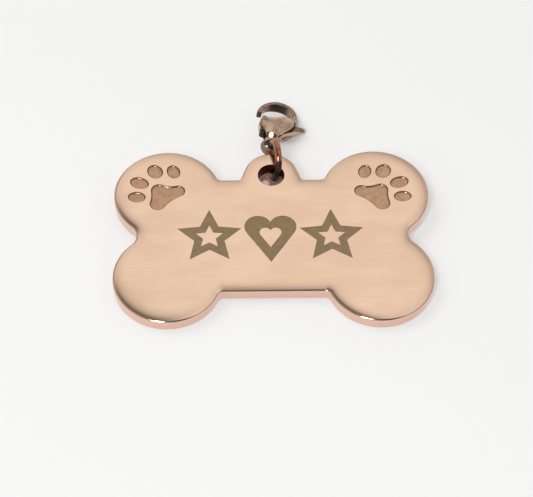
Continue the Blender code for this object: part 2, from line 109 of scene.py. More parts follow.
class Tree:
    """A node tree that expressions fill."""

    def __init__(self, tree: bpy.types.NodeTree) -> None:
        """Empties the tree."""
        self.tree = tree
        self.tree.nodes.clear()

    def node(
        self,
        kind: str,
        settings: dict | None = None,
        output: int | str | None = 0,
        **sockets: object,
    ) -> Value | None:
        """Adds a node.

        Args:
            kind: The node's type, without its ShaderNode prefix.
            settings: The node's own settings, such as an operation.
            output: The output to return, by name or place, or None for a node without one.
            **sockets: Values or links by socket name, with _ for a space, or by place as i0.

        Returns:
            The chosen output as a Value, or None.
        """
        made = self.tree.nodes.new("ShaderNode" + kind)
        for name, setting in (settings or {}).items():
            setattr(made, name, setting)
        for name, value in sockets.items():
            by_place = name[0] == "i" and name[1:].isdigit()
            socket = made.inputs[int(name[1:]) if by_place else name.replace("_", " ")]
            if isinstance(value, Value):
                self.tree.links.new(value.socket, socket)
            elif socket.type == "RGBA":
                socket.default_value = (*value, 1.0)
            else:
                socket.default_value = value
        return None if output is None else Value(self, made.outputs[output])

    def math(self, operation: str, left: Value | float, right: Value | float) -> Value:
        """Adds a Math node for two values or numbers."""
        return self.node("Math", {"operation": operation}, i0=left, i1=right)

    def mix(self, share: Value | float, first: Value | Colour, second: Value | Colour) -> Value:
        """Mixes two colours by a share from 0 to 1."""
        return self.node("Mix", {"data_type": "RGBA"}, 2, i0=share, i6=first, i7=second)

    def step(self, value: Value, low: float, high: float) -> Value:
        """A smooth step from 0 at low to 1 at high."""
        settings = {"interpolation_type": "SMOOTHSTEP"}
        return self.node("MapRange", settings, Value=value, From_Min=low, From_Max=high)

    def between(self, operation: str, first: Value | Place, second: Value | Place) -> Value:
        """The distance or the dot product of two points or directions."""
        return self.node("VectorMath", {"operation": operation}, "Value", i0=first, i1=second)

    def along(self, axis: str, vector: Value) -> Value:
        """One coordinate of a vector."""
        return self.node("SeparateXYZ", output=axis, Vector=vector)

    def point(self, stretch: Place = (1.0, 1.0, 1.0)) -> Value:
        """The point on the piece in millimetres, stretched along its axes."""
        place = self.node("TexCoord", output="Object")
        return self.node("Mapping", Vector=place, Scale=tuple(s / MM for s in stretch))

    def height(self) -> Value:
        """The point's height over the plate's back, in millimetres."""
        return self.along("Z", self.point())

    def darkened(self, name: str) -> Value:
        """A value from 0 to 1 that the piece's own mesh carries, or 0 if it has none."""
        return self.node("Attribute", {"attribute_name": name}, "Fac")

    def noise(self, pattern: Pattern) -> Value:
        """Cloudy noise from 0 to 1."""
        place = self.point(pattern.stretch)
        return self.node("TexNoise", Vector=place, Scale=pattern.scale, Detail=pattern.detail)

    def bump(self, height: Value, depth: float, strength: float = 1.0) -> Value:
        """A normal for a relief of some depth in millimetres."""
        sockets = {"Height": height, "Distance": depth * MM, "Strength": strength}
        return self.node("Bump", output="Normal", **sockets)

    def surface(self, **sockets: object) -> None:
        """Adds the Principled shader with these sockets, and the output."""
        self.node("OutputMaterial", output=None, Surface=self.node("BsdfPrincipled", **sockets))


def new_material(name: str) -> tuple[bpy.types.Material, Tree]:
    """Makes an empty node material.

    Args:
        name: The material's name.

    Returns:
        The material and its tree.
    """
    material = bpy.data.materials.new(name)
    material.use_nodes = True
    return material, Tree(material.node_tree)


@dataclass(frozen=True)
class PolishedPlating:
    """Mirror-polished plating, with faint polishing lines and clouds. Heights in millimetres."""

    name: str
    tone: Colour
    cloud: Colour
    rim: Colour
    # rolled is a darker tint: painted shade on the rim that the polishing rolled off.
    rolled: Colour
    roughness: float = 0.13
    lines: float = 0.05
    line_depth: float = 0.0012
    clouds: Pattern = Pattern(0.16, 2.0, (0.7, 1.6, 1.0))
    grain: Pattern = Pattern(1.2, 5.0, (0.3, 5.0, 1.0))
    hairlines: Pattern = Pattern(1.0, 4.0, (0.35, 7.0, 1.0))
    contrast: Pair = (0.3, 0.7)
    cloud_share: float = 0.7
    rim_top: Pair = (1.8, 1.9)
    flat_from: Pair = (2.115, 2.198)

    def material(self) -> bpy.types.Material:
        """Makes the plating, with its own tint on the plate's wall and a painted shade on its
        rolled rim.

        Returns:
            The material.
        """
        material, tree = new_material(self.name)
        clouds = tree.step(tree.noise(self.clouds), *self.contrast)
        grain = tree.step(tree.noise(self.grain), *self.contrast)
        hairlines = tree.noise(self.hairlines)
        mottling = clouds * self.cloud_share + grain * (1 - self.cloud_share)
        flat = tree.mix(mottling, self.tone, self.cloud)
        # Below flat_from the face takes the rolled tint, a painted shade towards the rims.
        face = tree.mix(tree.step(tree.height(), *self.flat_from), self.rolled, flat)
        tree.surface(
            Base_Color=tree.mix(tree.step(tree.height(), *self.rim_top), self.rim, face),
            Metallic=1.0,
            Roughness=self.roughness + hairlines * self.lines,
            Normal=tree.bump(hairlines, self.line_depth),
        )
        return material


@dataclass(frozen=True)
class EtchedMetal:
    """The matt floor of a sunk or engraved shape, with a fine grain."""

    name: str
    tone: Colour
    cloud: Colour
    metallic: float
    roughness: float
    roughening: float = 0.15
    grain: Pattern = Pattern(5.0, 4.0)
    clouds: Pattern = Pattern(0.9, 3.0)
    contrast: Pair = (0.35, 0.65)
    pit_depth: float = 0.012
    pit_strength: float = 0.7

    def material(self) -> bpy.types.Material:
        """Makes the etched floor.

        Returns:
            The material.
        """
        material, tree = new_material(self.name)
        grain = tree.noise(self.grain)
        mottling = tree.noise(self.clouds) * 0.5 + grain * 0.5
        tree.surface(
            Base_Color=tree.mix(tree.step(mottling, *self.contrast), self.tone, self.cloud),
            Metallic=self.metallic,
            Roughness=self.roughness + grain * self.roughening,
            Normal=tree.bump(grain, self.pit_depth, self.pit_strength),
        )
        return material


@dataclass(frozen=True)
class CastPolish:
    """Small cast or drawn parts, tumbled smooth, with darker stains in their plating."""

    name: str
    tone: Colour
    stain: Colour
    roughness: float
    # The near-black colour that the darkening attribute mixes in, mostly as painted shade.
    darkening: Colour = (0.020, 0.012, 0.009)
    darkening_dulling: float = 0.4
    darkening_roughening: float = 0.22
    stains: Pattern = Pattern(0.8, 4.0)
    stain_edge: Pair = (0.45, 0.72)
    stain_share: float = 0.7
    scuffs: Pattern = Pattern(3.5, 4.0)
    scuff_roughening: float = 0.06
    scuff_depth: float = 0.006
    scuff_strength: float = 0.6

    def material(self) -> bpy.types.Material:
        """Makes the polish, darkened as far as its mesh says, mostly as painted shade.

        Returns:
            The material.
        """
        material, tree = new_material(self.name)
        stains = tree.step(tree.noise(self.stains), *self.stain_edge)
        scuffs = tree.noise(self.scuffs)
        # Darkening from the mesh: painted shade on the clasp, and on the ring where it goes into
        # the hole.
        darkening = tree.darkened(DARKENING)
        clean = tree.mix(stains * self.stain_share, self.tone, self.stain)
        dulled = self.roughness + scuffs * self.scuff_roughening
        tree.surface(
            Base_Color=tree.mix(darkening, clean, self.darkening),
            Metallic=1.0 - darkening * self.darkening_dulling,
            Roughness=dulled + darkening * self.darkening_roughening,
            Normal=tree.bump(scuffs, self.scuff_depth, self.scuff_strength),
        )
        return material


class Finish(Enum):
    """Every finish on the tag."""

    ROSE_GOLD = PolishedPlating(
        "rose_gold",
        tone=(0.875, 0.62, 0.443),
        cloud=(0.785, 0.535, 0.387),
        rim=(0.84, 0.56, 0.46),
        # The rolled tint is painted shade on the rolled rims.
        rolled=(0.75, 0.515, 0.375),
    )
    PAW_FLOOR = EtchedMetal("paw_floor", (0.75, 0.455, 0.29), (0.57, 0.325, 0.20), 1.0, 0.42)
    # The sunk paw walls' darker tone is painted shade at the edges of the prints.
    SHADED_PAW_WALL = CastPolish("paw_wall", (0.34, 0.20, 0.13), (0.25, 0.14, 0.09), 0.2)
    ENGRAVING = EtchedMetal("engraving", (0.275, 0.185, 0.092), (0.205, 0.14, 0.07), 0.2, 0.55)
    # A dark tone that paints the shade inside the tab's hole.
    SHADED_BORE = CastPolish("shaded_bore_wall", (0.12, 0.06, 0.045), (0.04, 0.017, 0.013), 0.14)
    COPPER = CastPolish("copper_wire", (0.46, 0.18, 0.105), (0.16, 0.055, 0.035), 0.15)
    BRONZE = CastPolish("bronze_clasp", (0.64, 0.43, 0.30), (0.28, 0.17, 0.115), 0.06)
    STEEL = CastPolish("spring_steel", (0.44, 0.34, 0.29), (0.26, 0.19, 0.16), 0.16)


MATERIALS: dict[Finish, bpy.types.Material] = {}
PLATE_FINISHES = (
    Finish.ROSE_GOLD,
    Finish.PAW_FLOOR,
    Finish.ENGRAVING,
    Finish.SHADED_BORE,
    Finish.SHADED_PAW_WALL,
)


@dataclass(frozen=True)
class Disc:
    """A round lobe of an outline, and the radius of the hollow that leads to the next lobe."""

    u: float
    v: float
    radius: float
    hollow: float


class Sketch:
    """A flat outline in millimetres, drawn with arcs and lines, that becomes a face."""

    def __init__(self) -> None:
        """Starts an empty outline."""
        self.shape = bmesh.new()
        self.last: bmesh.types.BMVert | None = None

    def to(self, u: float, v: float) -> bmesh.types.BMVert:
        """Draws a line to a point, or starts there.

        Args:
            u: The point's place along the first axis.
            v: Its place along the second axis.

        Returns:
            The point's vertex.
        """
        vertex = self.shape.verts.new((u, v, 0))
        if self.last:
            self.shape.edges.new((self.last, vertex))
        self.last = vertex
        return vertex

    def arc(
        self, centre: Pair, radius: float, start: float, end: float, step: float = ARC_STEP
    ) -> None:
        """Draws an arc, with a line to its start.

        Args:
            centre: The arc's centre.
            radius: Its radius.
            start: The angle where it starts.
            end: The angle where it ends, lower than start for a clockwise arc.
            step: The largest angle of one edge.
        """
        first = self.to(centre[0] + radius * cos(start), centre[1] + radius * sin(start))
        spun = bmesh.ops.spin(
            self.shape,
            geom=[first],
            cent=(*centre, 0),
            axis=(0, 0, 1),
            angle=end - start,
            steps=max(2, ceil(abs(end - start) / step)),
        )
        self.last = next(item for item in spun["geom_last"] if isinstance(item, bmesh.types.BMVert))

    def around(self, discs: tuple[Disc, ...], step: float = FINE_STEP) -> None:
        """Draws an outline anticlockwise round discs that hollow arcs join on their outer side.

        Args:
            discs: The lobes in their order.
            step: The largest angle of one edge.
        """
        joins = []
        for i, disc in enumerate(discs):
            other = discs[(i + 1) % len(discs)]
            along = Vector((other.u - disc.u, other.v - disc.v))
            span = along.length
            near, far = disc.radius + disc.hollow, other.radius + disc.hollow
            foot = (near**2 - far**2 + span**2) / (2 * span)
            rise = sqrt(max(near**2 - foot**2, 0.0))
            along.normalize()
            centre = Vector((disc.u, disc.v)) + along * foot + Vector((along.y, -along.x)) * rise
            leave = atan2(centre.y - disc.v, centre.x - disc.u)
            reach = atan2(centre.y - other.v, centre.x - other.u)
            joins.append((centre, leave, reach))
        for i, disc in enumerate(discs):
            arrive, (centre, leave, reach) = joins[i - 1][2], joins[i]
            while leave < arrive:
                leave += 2 * pi
            self.arc((disc.u, disc.v), disc.radius, arrive, leave, step)
            start, end = leave + pi, reach + pi
            while end > start:
                end -= 2 * pi
            while end < start - 2 * pi:
                end += 2 * pi
            self.arc((centre.x, centre.y), disc.hollow, start, end, step)

    def mirrored(self) -> None:
        """Adds the outline's mirror image across the V axis."""
        geometry = self.shape.verts[:] + self.shape.edges[:]
        bmesh.ops.mirror(self.shape, geom=geometry, axis="X", merge_dist=MIRROR_WELD)

    def face(self) -> bmesh.types.BMesh:
        """Fills the closed outline.

        Returns:
            The mesh with its one face.
        """
        bmesh.ops.remove_doubles(self.shape, verts=self.shape.verts, dist=WELD)
        ends = [v for v in self.shape.verts if len(v.link_edges) == 1]
        if len(ends) == 2:
            self.shape.edges.new(ends)
        bmesh.ops.contextual_create(self.shape, geom=self.shape.edges[:])
        return self.shape


def quarter(radius: float, steps: int, turn: float = pi / 2) -> list[Pair]:
    """The steps of a rounded edge.

    Args:
        radius: The edge's radius.
        steps: How many facets it has.
        turn: How far it turns, a right angle if it runs into the face.

    Returns:
        The inset and the rise of each step.
    """
    angles = [turn * i / steps for i in range(steps + 1)]
    return [
        (radius * (cos(low) - cos(high)), radius * (sin(high) - sin(low)))
        for low, high in zip(angles, angles[1:])
    ]


class Form:
    """A solid in millimetres, grown from a flat face."""

    def __init__(self, shape: bmesh.types.BMesh, base: float = 0.0) -> None:
        """Takes a mesh of one face and lifts it to its base height."""
        self.shape = shape
        self.shape.faces.ensure_lookup_table()
        self.low = self.shape.faces[0]
        bmesh.ops.translate(self.shape, verts=self.shape.verts, vec=(0, 0, base))
        self.high = self.low

    def grow(self, rise: float) -> "Form":
        """Extrudes the upper face.

        Args:
            rise: How far the face goes up.

        Returns:
            The form.
        """
        before = self.high
        keep = before is self.low
        grown = bmesh.ops.extrude_face_region(self.shape, geom=[before], use_keep_orig=keep)
        self.high = next(item for item in grown["geom"] if isinstance(item, bmesh.types.BMFace))
        if not keep and before.is_valid:
            bmesh.ops.delete(self.shape, geom=[before], context="FACES_ONLY")
        bmesh.ops.translate(self.shape, verts=self.high.verts, vec=(0, 0, rise))
        return self

    def inset(self, steps: list[Pair], lower: bool = False) -> "Form":
        """Steps the upper or the lower face inwards and outwards.

        Args:
            steps: The inset of each step and how far it stands off.
            lower: True for the lower face.

        Returns:
            The form.
        """
        face = self.low if lower else self.high
        for width, rise in steps:
            bmesh.ops.inset_region(self.shape, faces=[face], thickness=width, use_even_offset=True)
            bmesh.ops.translate(self.shape, verts=face.verts, vec=(0, 0, -rise if lower else rise))
        return self

    def crown(
        self, centre: Pair, scales: tuple[float, ...], swell: float, lower: bool = False
    ) -> "Form":
        """Swells the upper or the lower face to its middle.

        Args:
            centre: The crown's middle.
            scales: The size of each ring of the crown, falling from 1.
            swell: How far the middle stands over the rim.
            lower: True for the lower face.

        Returns:
            The form.
        """
        face = self.low if lower else self.high
        about = Matrix.Translation((-centre[0], -centre[1], 0))
        before = 1.0
        for scale in scales:
            bmesh.ops.inset_region(self.shape, faces=[face], thickness=SLIVER)
            share = scale / before
            rise = swell * (before**CROWN_POWER - scale**CROWN_POWER)
            bmesh.ops.scale(self.shape, verts=face.verts, vec=(share, share, 1), space=about)
            bmesh.ops.translate(self.shape, verts=face.verts, vec=(0, 0, -rise if lower else rise))
            before = scale
        return self

    def painted(self, walls: Finish, floors: Finish) -> "Form":
        """Gives a cutter of the plate its finishes.

        Args:
            walls: The finish of the upright and sloped faces.
            floors: The finish of the level faces.

        Returns:
            The form.
        """
        self.shape.normal_update()
        for face in self.shape.faces:
            finish = floors if abs(face.normal.z) > LEVEL else walls
            face.material_index = PLATE_FINISHES.index(finish)
        return self

    def mesh(self, name: str, matrix: Matrix | None = None) -> bpy.types.Mesh:
        """Ends the form.

        Args:
            name: The mesh's name.
            matrix: Where the form goes, in millimetres.

        Returns:
            The mesh, with its faces pointing outwards.
        """
        bmesh.ops.recalc_face_normals(self.shape, faces=self.shape.faces)
        made = to_mesh(self.shape, name)
        if matrix:
            made.transform(matrix)
            if matrix.determinant() < 0:
                made.flip_normals()
        return made


def to_mesh(shape: bmesh.types.BMesh, name: str) -> bpy.types.Mesh:
    """Ends a bmesh and keeps it as a mesh.

    Args:
        shape: The bmesh, which is freed.
        name: The mesh's name.

    Returns:
        The mesh.
    """
    made = bpy.data.meshes.new(name)
    shape.to_mesh(made)
    shape.free()
    return made


def linked(name: str, data: bpy.types.ID) -> bpy.types.Object:
    """Puts a mesh, a lamp or a camera in the scene.

    Args:
        name: The object's name.
        data: What the object holds.

    Returns:
        The object.
    """
    item = bpy.data.objects.new(name, data)
    bpy.context.scene.collection.objects.link(item)
    return item


def slab(sketch: Sketch, thickness: float, edge: float) -> Form:
    """A flat piece with rounded rims, half above and half below its sketch.

    Args:
        sketch: The piece's outline.
        thickness: Its thickness.
        edge: The radius of its rims.

    Returns:
        The form.
    """
    rounded = quarter(edge, EDGE_FACETS)
    form = Form(sketch.face(), edge - thickness / 2).grow(thickness - 2 * edge)
    return form.inset(rounded).inset(rounded, lower=True)


def joined(name: str, meshes: list[bpy.types.Mesh]) -> bpy.types.Mesh:
    """One mesh of several that don't touch.

    Args:
        name: The new mesh's name.
        meshes: The meshes.

    Returns:
        The new mesh.
    """
    shape = bmesh.new()
    for mesh in meshes:
        shape.from_mesh(mesh)
    return to_mesh(shape, name)


def modified(mesh: bpy.types.Mesh, kind: str, **settings: object) -> bpy.types.Mesh:
    """A new mesh that one modifier makes of a mesh.

    Args:
        mesh: The mesh to change.
        kind: The modifier's type.
        **settings: The modifier's settings.

    Returns:
        The new mesh.
    """
    item = linked("worked", mesh)
    modifier = item.modifiers.new("change", kind)
    for name, setting in settings.items():
        setattr(modifier, name, setting)
    graph = bpy.context.evaluated_depsgraph_get()
    made = bpy.data.meshes.new_from_object(item.evaluated_get(graph), depsgraph=graph)
    bpy.data.objects.remove(item)
    return made


def boolean(
    body: bpy.types.Mesh, tools: list[bpy.types.Mesh], operation: str = "DIFFERENCE"
) -> bpy.types.Mesh:
    """Cuts tools from a body, or joins them to it.

    Args:
        body: The mesh to change.
        tools: The other meshes.
        operation: The Boolean modifier's operation.

    Returns:
        The new mesh.
    """
    for tool in tools:
        helper = linked("tool", tool)
        body = modified(body, "BOOLEAN", object=helper, operation=operation, solver="EXACT")
        bpy.data.objects.remove(helper)
    return body


def skinned(mesh: bpy.types.Mesh, voxel: float) -> bpy.types.Mesh:
    """Melts joined forms into one skin of small faces of one size."""
    return modified(mesh, "REMESH", mode="VOXEL", voxel_size=voxel)


def tumbled(mesh: bpy.types.Mesh, passes: int) -> bpy.types.Mesh:
    """Softens a skin's edges and inner corners."""
    return modified(mesh, "SMOOTH", factor=0.5, iterations=passes)


def ramp(value: float, low: float, high: float) -> float:
    """A smooth step of a number from 0 at low to 1 at high."""
    share = min(max((value - low) / (high - low), 0.0), 1.0)
    return share * share * (3 - 2 * share)


def darkened(mesh: bpy.types.Mesh, mark: Callable[[Vector, Vector], float]) -> bpy.types.Mesh:
    """Notes on a mesh how dark each point is painted, mostly as painted shade.

    Args:
        mesh: The mesh, still in its piece's own axes.
        mark: Gives the darkening at a point, from the point and the way that the surface faces.

    Returns:
        The mesh.
    """
    darkening = mesh.attributes.new(DARKENING, "FLOAT", "POINT")
    for vertex, share in zip(mesh.vertices, darkening.data):
        share.value = mark(vertex.co, vertex.normal)
    return mesh


def slotted(mesh: bpy.types.Mesh, finishes: tuple[Finish, ...]) -> bpy.types.Mesh:
    """Gives a mesh its material slots, so that a cut keeps the slots of its tool's faces.

    Args:
        mesh: The mesh.
        finishes: The finish of each slot.

    Returns:
        The mesh.
    """
    for finish in finishes:
        mesh.materials.append(MATERIALS[finish])
    return mesh


def show(
    mesh: bpy.types.Mesh,
    name: str,
    finishes: tuple[Finish, ...],
    node: str,
    body: str,
    crease: float | None = CREASE,
) -> bpy.types.Object:
    """Shows a finished mesh in the place of a CAD node.

    Args:
        mesh: The mesh, in millimetres in the frame's axes.
        name: The piece's name.
        finishes: The finish of each of its material slots.
        node: The CAD node that it stands for.
        body: The CAD body that it rides on.
        crease: The angle from which an edge stays sharp, or None for none.

    Returns:
        The piece.
    """
    mesh.transform(Matrix.Scale(MM, 4))
    mesh.name = name
    if not mesh.materials:
        slotted(mesh, finishes)
    mesh.shade_smooth()
    item = linked(name, mesh)
    if crease is not None:
        mesh.set_sharp_from_angle(angle=crease)
        weighted = item.modifiers.new("flat faces stay flat", "WEIGHTED_NORMAL")
        weighted.keep_sharp = True
    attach(item, body)
    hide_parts(node)
    log.info("%s: %d faces", name, len(mesh.polygons))
    return item


@dataclass(frozen=True)
class Toe:
    """One toe of a paw print: its middle, its two half lengths and its turn in degrees."""

    u: float
    v: float
    long: float
    wide: float
    turn: float


@dataclass(frozen=True)
class TagPlate:
    """The bone-shaped plate: four lobes on a bar, a tab with a hole, and sunk paw prints.

    Lengths are in millimetres. Rims and walls are steps, each an inset and a rise.
    """

    thickness: float = 2.2
    edge: float = 0.2
    edge_turn: float = radians(55)
    lobe: float = 8.5
    lobe_u: float = 16.5
    lobe_v: float = 8.0
    waist: float = 2.2
    bar: float = 10.85
    bar_round: float = 1.0
    tab: float = 4.3
    tab_v: float = 11.8
    tab_flare: float = radians(20)
    tab_round: float = 0.5
    hole: float = 2.05
    hole_v: float = 11.6
    hole_flare: float = 0.12
    hole_flare_steps: Pair = (0.8, 1.2)
    hole_sides: int = 96
    rim: tuple[Pair, ...] = ((0.12, 0.06), (0.14, 0.045), (0.18, 0.035))
    polish: tuple[Pair, ...] = (
        (0.25, 0.026),
        (0.35, 0.024),
        (0.45, 0.02),
        (0.55, 0.014),
        (0.65, 0.008),
    )
    paw_wall: tuple[Pair, ...] = ((0.06, 0.10), (0.07, 0.08), (0.08, 0.045), (0.08, 0.004))
    paw_left: Pair = (18.3, 8.95)
    paw_right: Pair = (17.72, 8.75)
    toes: tuple[Toe, ...] = (
        Toe(-2.70, 3.45, 1.36, 1.06, 73),
        Toe(0.25, 3.50, 1.44, 1.22, 60),
        Toe(2.72, 1.25, 1.56, 1.12, 20),
        Toe(3.12, -1.55, 1.42, 1.04, 4),
    )
    toe_step: float = radians(6)
    pad: tuple[Disc, ...] = (
        Disc(-3.45, -0.42, 1.12, 6.2),
        Disc(-0.20, -2.90, 1.27, 4.6),
        Disc(-0.35, -0.25, 1.24, 3.2),
    )
    engraving_depth: float = 0.05

    def outline(self) -> Sketch:
        """Draws the right half from the tab's top to the bar's lower edge, and its mirror image.

        Returns:
            The whole outline.
        """
        half = Sketch()
        corner_v = self.bar + self.tab_round
        reach = self.tab + self.tab_round - (corner_v - self.tab_v) * sin(self.tab_flare)
        half.arc((0, self.tab_v), self.tab, pi / 2, self.tab_flare)
        corner = (reach / cos(self.tab_flare), corner_v)
        half.arc(corner, self.tab_round, pi + self.tab_flare, 1.5 * pi, FINE_STEP)

        bar_v = self.bar + self.bar_round
        drop = bar_v - self.lobe_v
        bar_u = self.lobe_u - sqrt((self.lobe + self.bar_round) ** 2 - drop**2)
        turn = atan2(drop, bar_u - self.lobe_u)
        half.arc((bar_u, bar_v), self.bar_round, 1.5 * pi, pi + turn, FINE_STEP)

        waist_u = self.lobe_u + sqrt((self.lobe + self.waist) ** 2 - self.lobe_v**2)
        waist_turn = atan2(-self.lobe_v, waist_u - self.lobe_u)
        half.arc((self.lobe_u, self.lobe_v), self.lobe, turn, waist_turn)
        half.arc((waist_u, 0), self.waist, pi + waist_turn, pi - waist_turn, FINE_STEP)
        half.arc((self.lobe_u, -self.lobe_v), self.lobe, -waist_turn, -turn)
        half.arc((bar_u, -bar_v), self.bar_round, pi - turn, pi / 2, FINE_STEP)
        half.to(0, -self.bar)
        half.mirrored()
        return half

    def blank(self) -> bpy.types.Mesh:
        """The plate before its hole, its face rolled off to the rims by the polishing.

        Returns:
            The mesh.
        """
        rolled = [*quarter(self.edge, EDGE_FACETS, self.edge_turn), *self.rim, *self.polish]
        form = Form(self.outline().face(), self.edge)
        form.grow(self.thickness - self.edge - sum(rise for _, rise in rolled))
        form.inset(rolled)
        form.inset(quarter(self.edge, EDGE_FACETS), lower=True)
        return form.mesh("blank")

    def hole_tool(self) -> bpy.types.Mesh:
        """The round cutter of the tab's hole, flared where the hole's rims are broken.

        Returns:
            The cutter.
        """
        flare = self.hole_flare
        inner, outer = (flare * step for step in self.hole_flare_steps)
        shape = bmesh.new()
        bmesh.ops.create_circle(
            shape,
            cap_ends=True,
            segments=self.hole_sides,
            radius=self.hole + 2 * flare,
            matrix=Matrix.Translation((0, self.hole_v, 0)),
        )
        form = Form(shape, -flare)
        about = Matrix.Translation((0, -self.hole_v, 0))
        for rise, widening in (
            (flare, -outer),
            (flare, -inner),
            (self.thickness - 2 * flare, 0.0),
            (flare, inner),
            (flare, outer),
        ):
            form.grow(rise)
            radius = (form.high.verts[0].co.xy - Vector((0, self.hole_v))).length
            share = (radius + widening) / radius
            bmesh.ops.scale(shape, verts=form.high.verts, vec=(share, share, 1), space=about)
        # The hole's walls take the dark bore finish, a painted shade inside the hole.
        return form.painted(Finish.SHADED_BORE, Finish.SHADED_BORE).mesh("hole_tool")

    def sunk(self, sketch: Sketch, place: Matrix) -> bpy.types.Mesh:
        """A cutter for a shape that is sunk in the face, with walls that lean in.

        Args:
            sketch: The shape's outline at the face.
            place: Where the shape goes.

        Returns:
            The cutter.
        """
        form = Form(sketch.face(), self.thickness)
        form.grow(self.edge)
        form.inset(list(self.paw_wall), lower=True)
        # The walls take the darker paw-wall finish, a painted shade round each print.
        return form.painted(Finish.SHADED_PAW_WALL, Finish.PAW_FLOOR).mesh("sunk", place)

    def paw(self, side: int, place: Pair) -> list[bpy.types.Mesh]:
        """The cutters of a paw print: four toes and the pad.

        Args:
            side: 1 for the right-hand paw, -1 for its mirror image.
            place: The paw's middle, with u counted outwards.

        Returns:
            The cutters.
        """
        where = Matrix.Diagonal((side, 1, 1, 1)) @ Matrix.Translation((*place, 0))
        tools = []
        for toe in self.toes:
            oval = Sketch()
            oval.arc((0, 0), 1.0, 0, 2 * pi, self.toe_step)
            turn = Matrix.Rotation(radians(toe.turn), 4, "Z")
            stretch = Matrix.Diagonal((toe.long, toe.wide, 1, 1))
            spread = Matrix.Translation((toe.u, toe.v, 0)) @ turn @ stretch
            bmesh.ops.transform(oval.shape, verts=oval.shape.verts, matrix=spread)
            tools.append(self.sunk(oval, where))
        pad = Sketch()
        pad.around(self.pad)
        tools.append(self.sunk(pad, where))
        return tools

    def build(self) -> bpy.types.Object:
        """Builds and dresses the plate.

        Returns:
            The piece.
        """
        tools = [self.hole_tool(), *self.paw(1, self.paw_right), *self.paw(-1, self.paw_left)]
        tools += Ornament(self.thickness, self.engraving_depth).tools()
        cutter = slotted(joined("tools", tools), PLATE_FINISHES)
        plate = boolean(slotted(self.blank(), PLATE_FINISHES), [cutter])
        return show(plate, "bone_plate", PLATE_FINISHES, "tag_plate", "tag")


@dataclass(frozen=True)
class Ornament:
    """Plain motifs in the middle of the face: an open heart between two open stars.

    Lengths are in millimetres.
    """

    face: float
    depth: float
    spacing: float = 9.6
    middle: Pair = (-0.35, -0.55)
    star_points: int = 5
    star_reach: float = 5.3
    star_waist: float = 0.47
    opening: float = 0.42
    lobe: float = 2.15
    lobe_place: Pair = (1.95, 1.9)
    tip: float = 4.9

    def star(self, scale: float) -> Sketch:
        """Draws a star.

        Args:
            scale: Its size, 1 for the outer outline.

        Returns:
            The outline.
        """
        sketch = Sketch()
        for i in range(2 * self.star_points):
            angle = pi / 2 + i * pi / self.star_points
            length = self.star_reach * scale * (1 if i % 2 == 0 else self.star_waist)
            sketch.to(length * cos(angle), length * sin(angle))
        return sketch

    def heart(self, scale: float) -> Sketch:
        """Draws a heart: a lobe and its side down to the point, and their mirror image.

        Args:
            scale: Its size, 1 for the outer outline.

        Returns:
            The outline.
        """
        u, v, radius, tip = (scale * length for length in (*self.lobe_place, self.lobe, self.tip))
        to_tip = Vector((-u, -tip - v))
        touch = atan2(to_tip.y, to_tip.x) + acos(radius / to_tip.length)
        sketch = Sketch()
        sketch.arc((u, v), radius, pi - acos(u / radius), touch, FINE_STEP)
        sketch.to(0, -tip)
        sketch.mirrored()
        return sketch

    def tool(self, draw: Callable[[float], Sketch], u: float) -> bpy.types.Mesh:
        """The cutter of one open motif.

        Args:
            draw: Draws the motif at a scale.
            u: Where the motif's middle lies along the row.

        Returns:
            The cutter.
        """
        whole = Form(draw(1.0).face(), self.face - self.depth).grow(self.depth * 4)
        whole.painted(Finish.ROSE_GOLD, Finish.ENGRAVING)
        inner = Form(draw(self.opening).face(), self.face - self.depth * 3).grow(self.depth * 8)
        motif = boolean(whole.mesh("motif"), [inner.mesh("opening")])
        motif.transform(Matrix.Translation((self.middle[0] + u, self.middle[1], 0)))
        return motif

    def tools(self) -> list[bpy.types.Mesh]:
        """The cutters of the whole row."""
        row = ((self.star, -self.spacing), (self.heart, 0.0), (self.star, self.spacing))
        return [self.tool(draw, u) for draw, u in row]


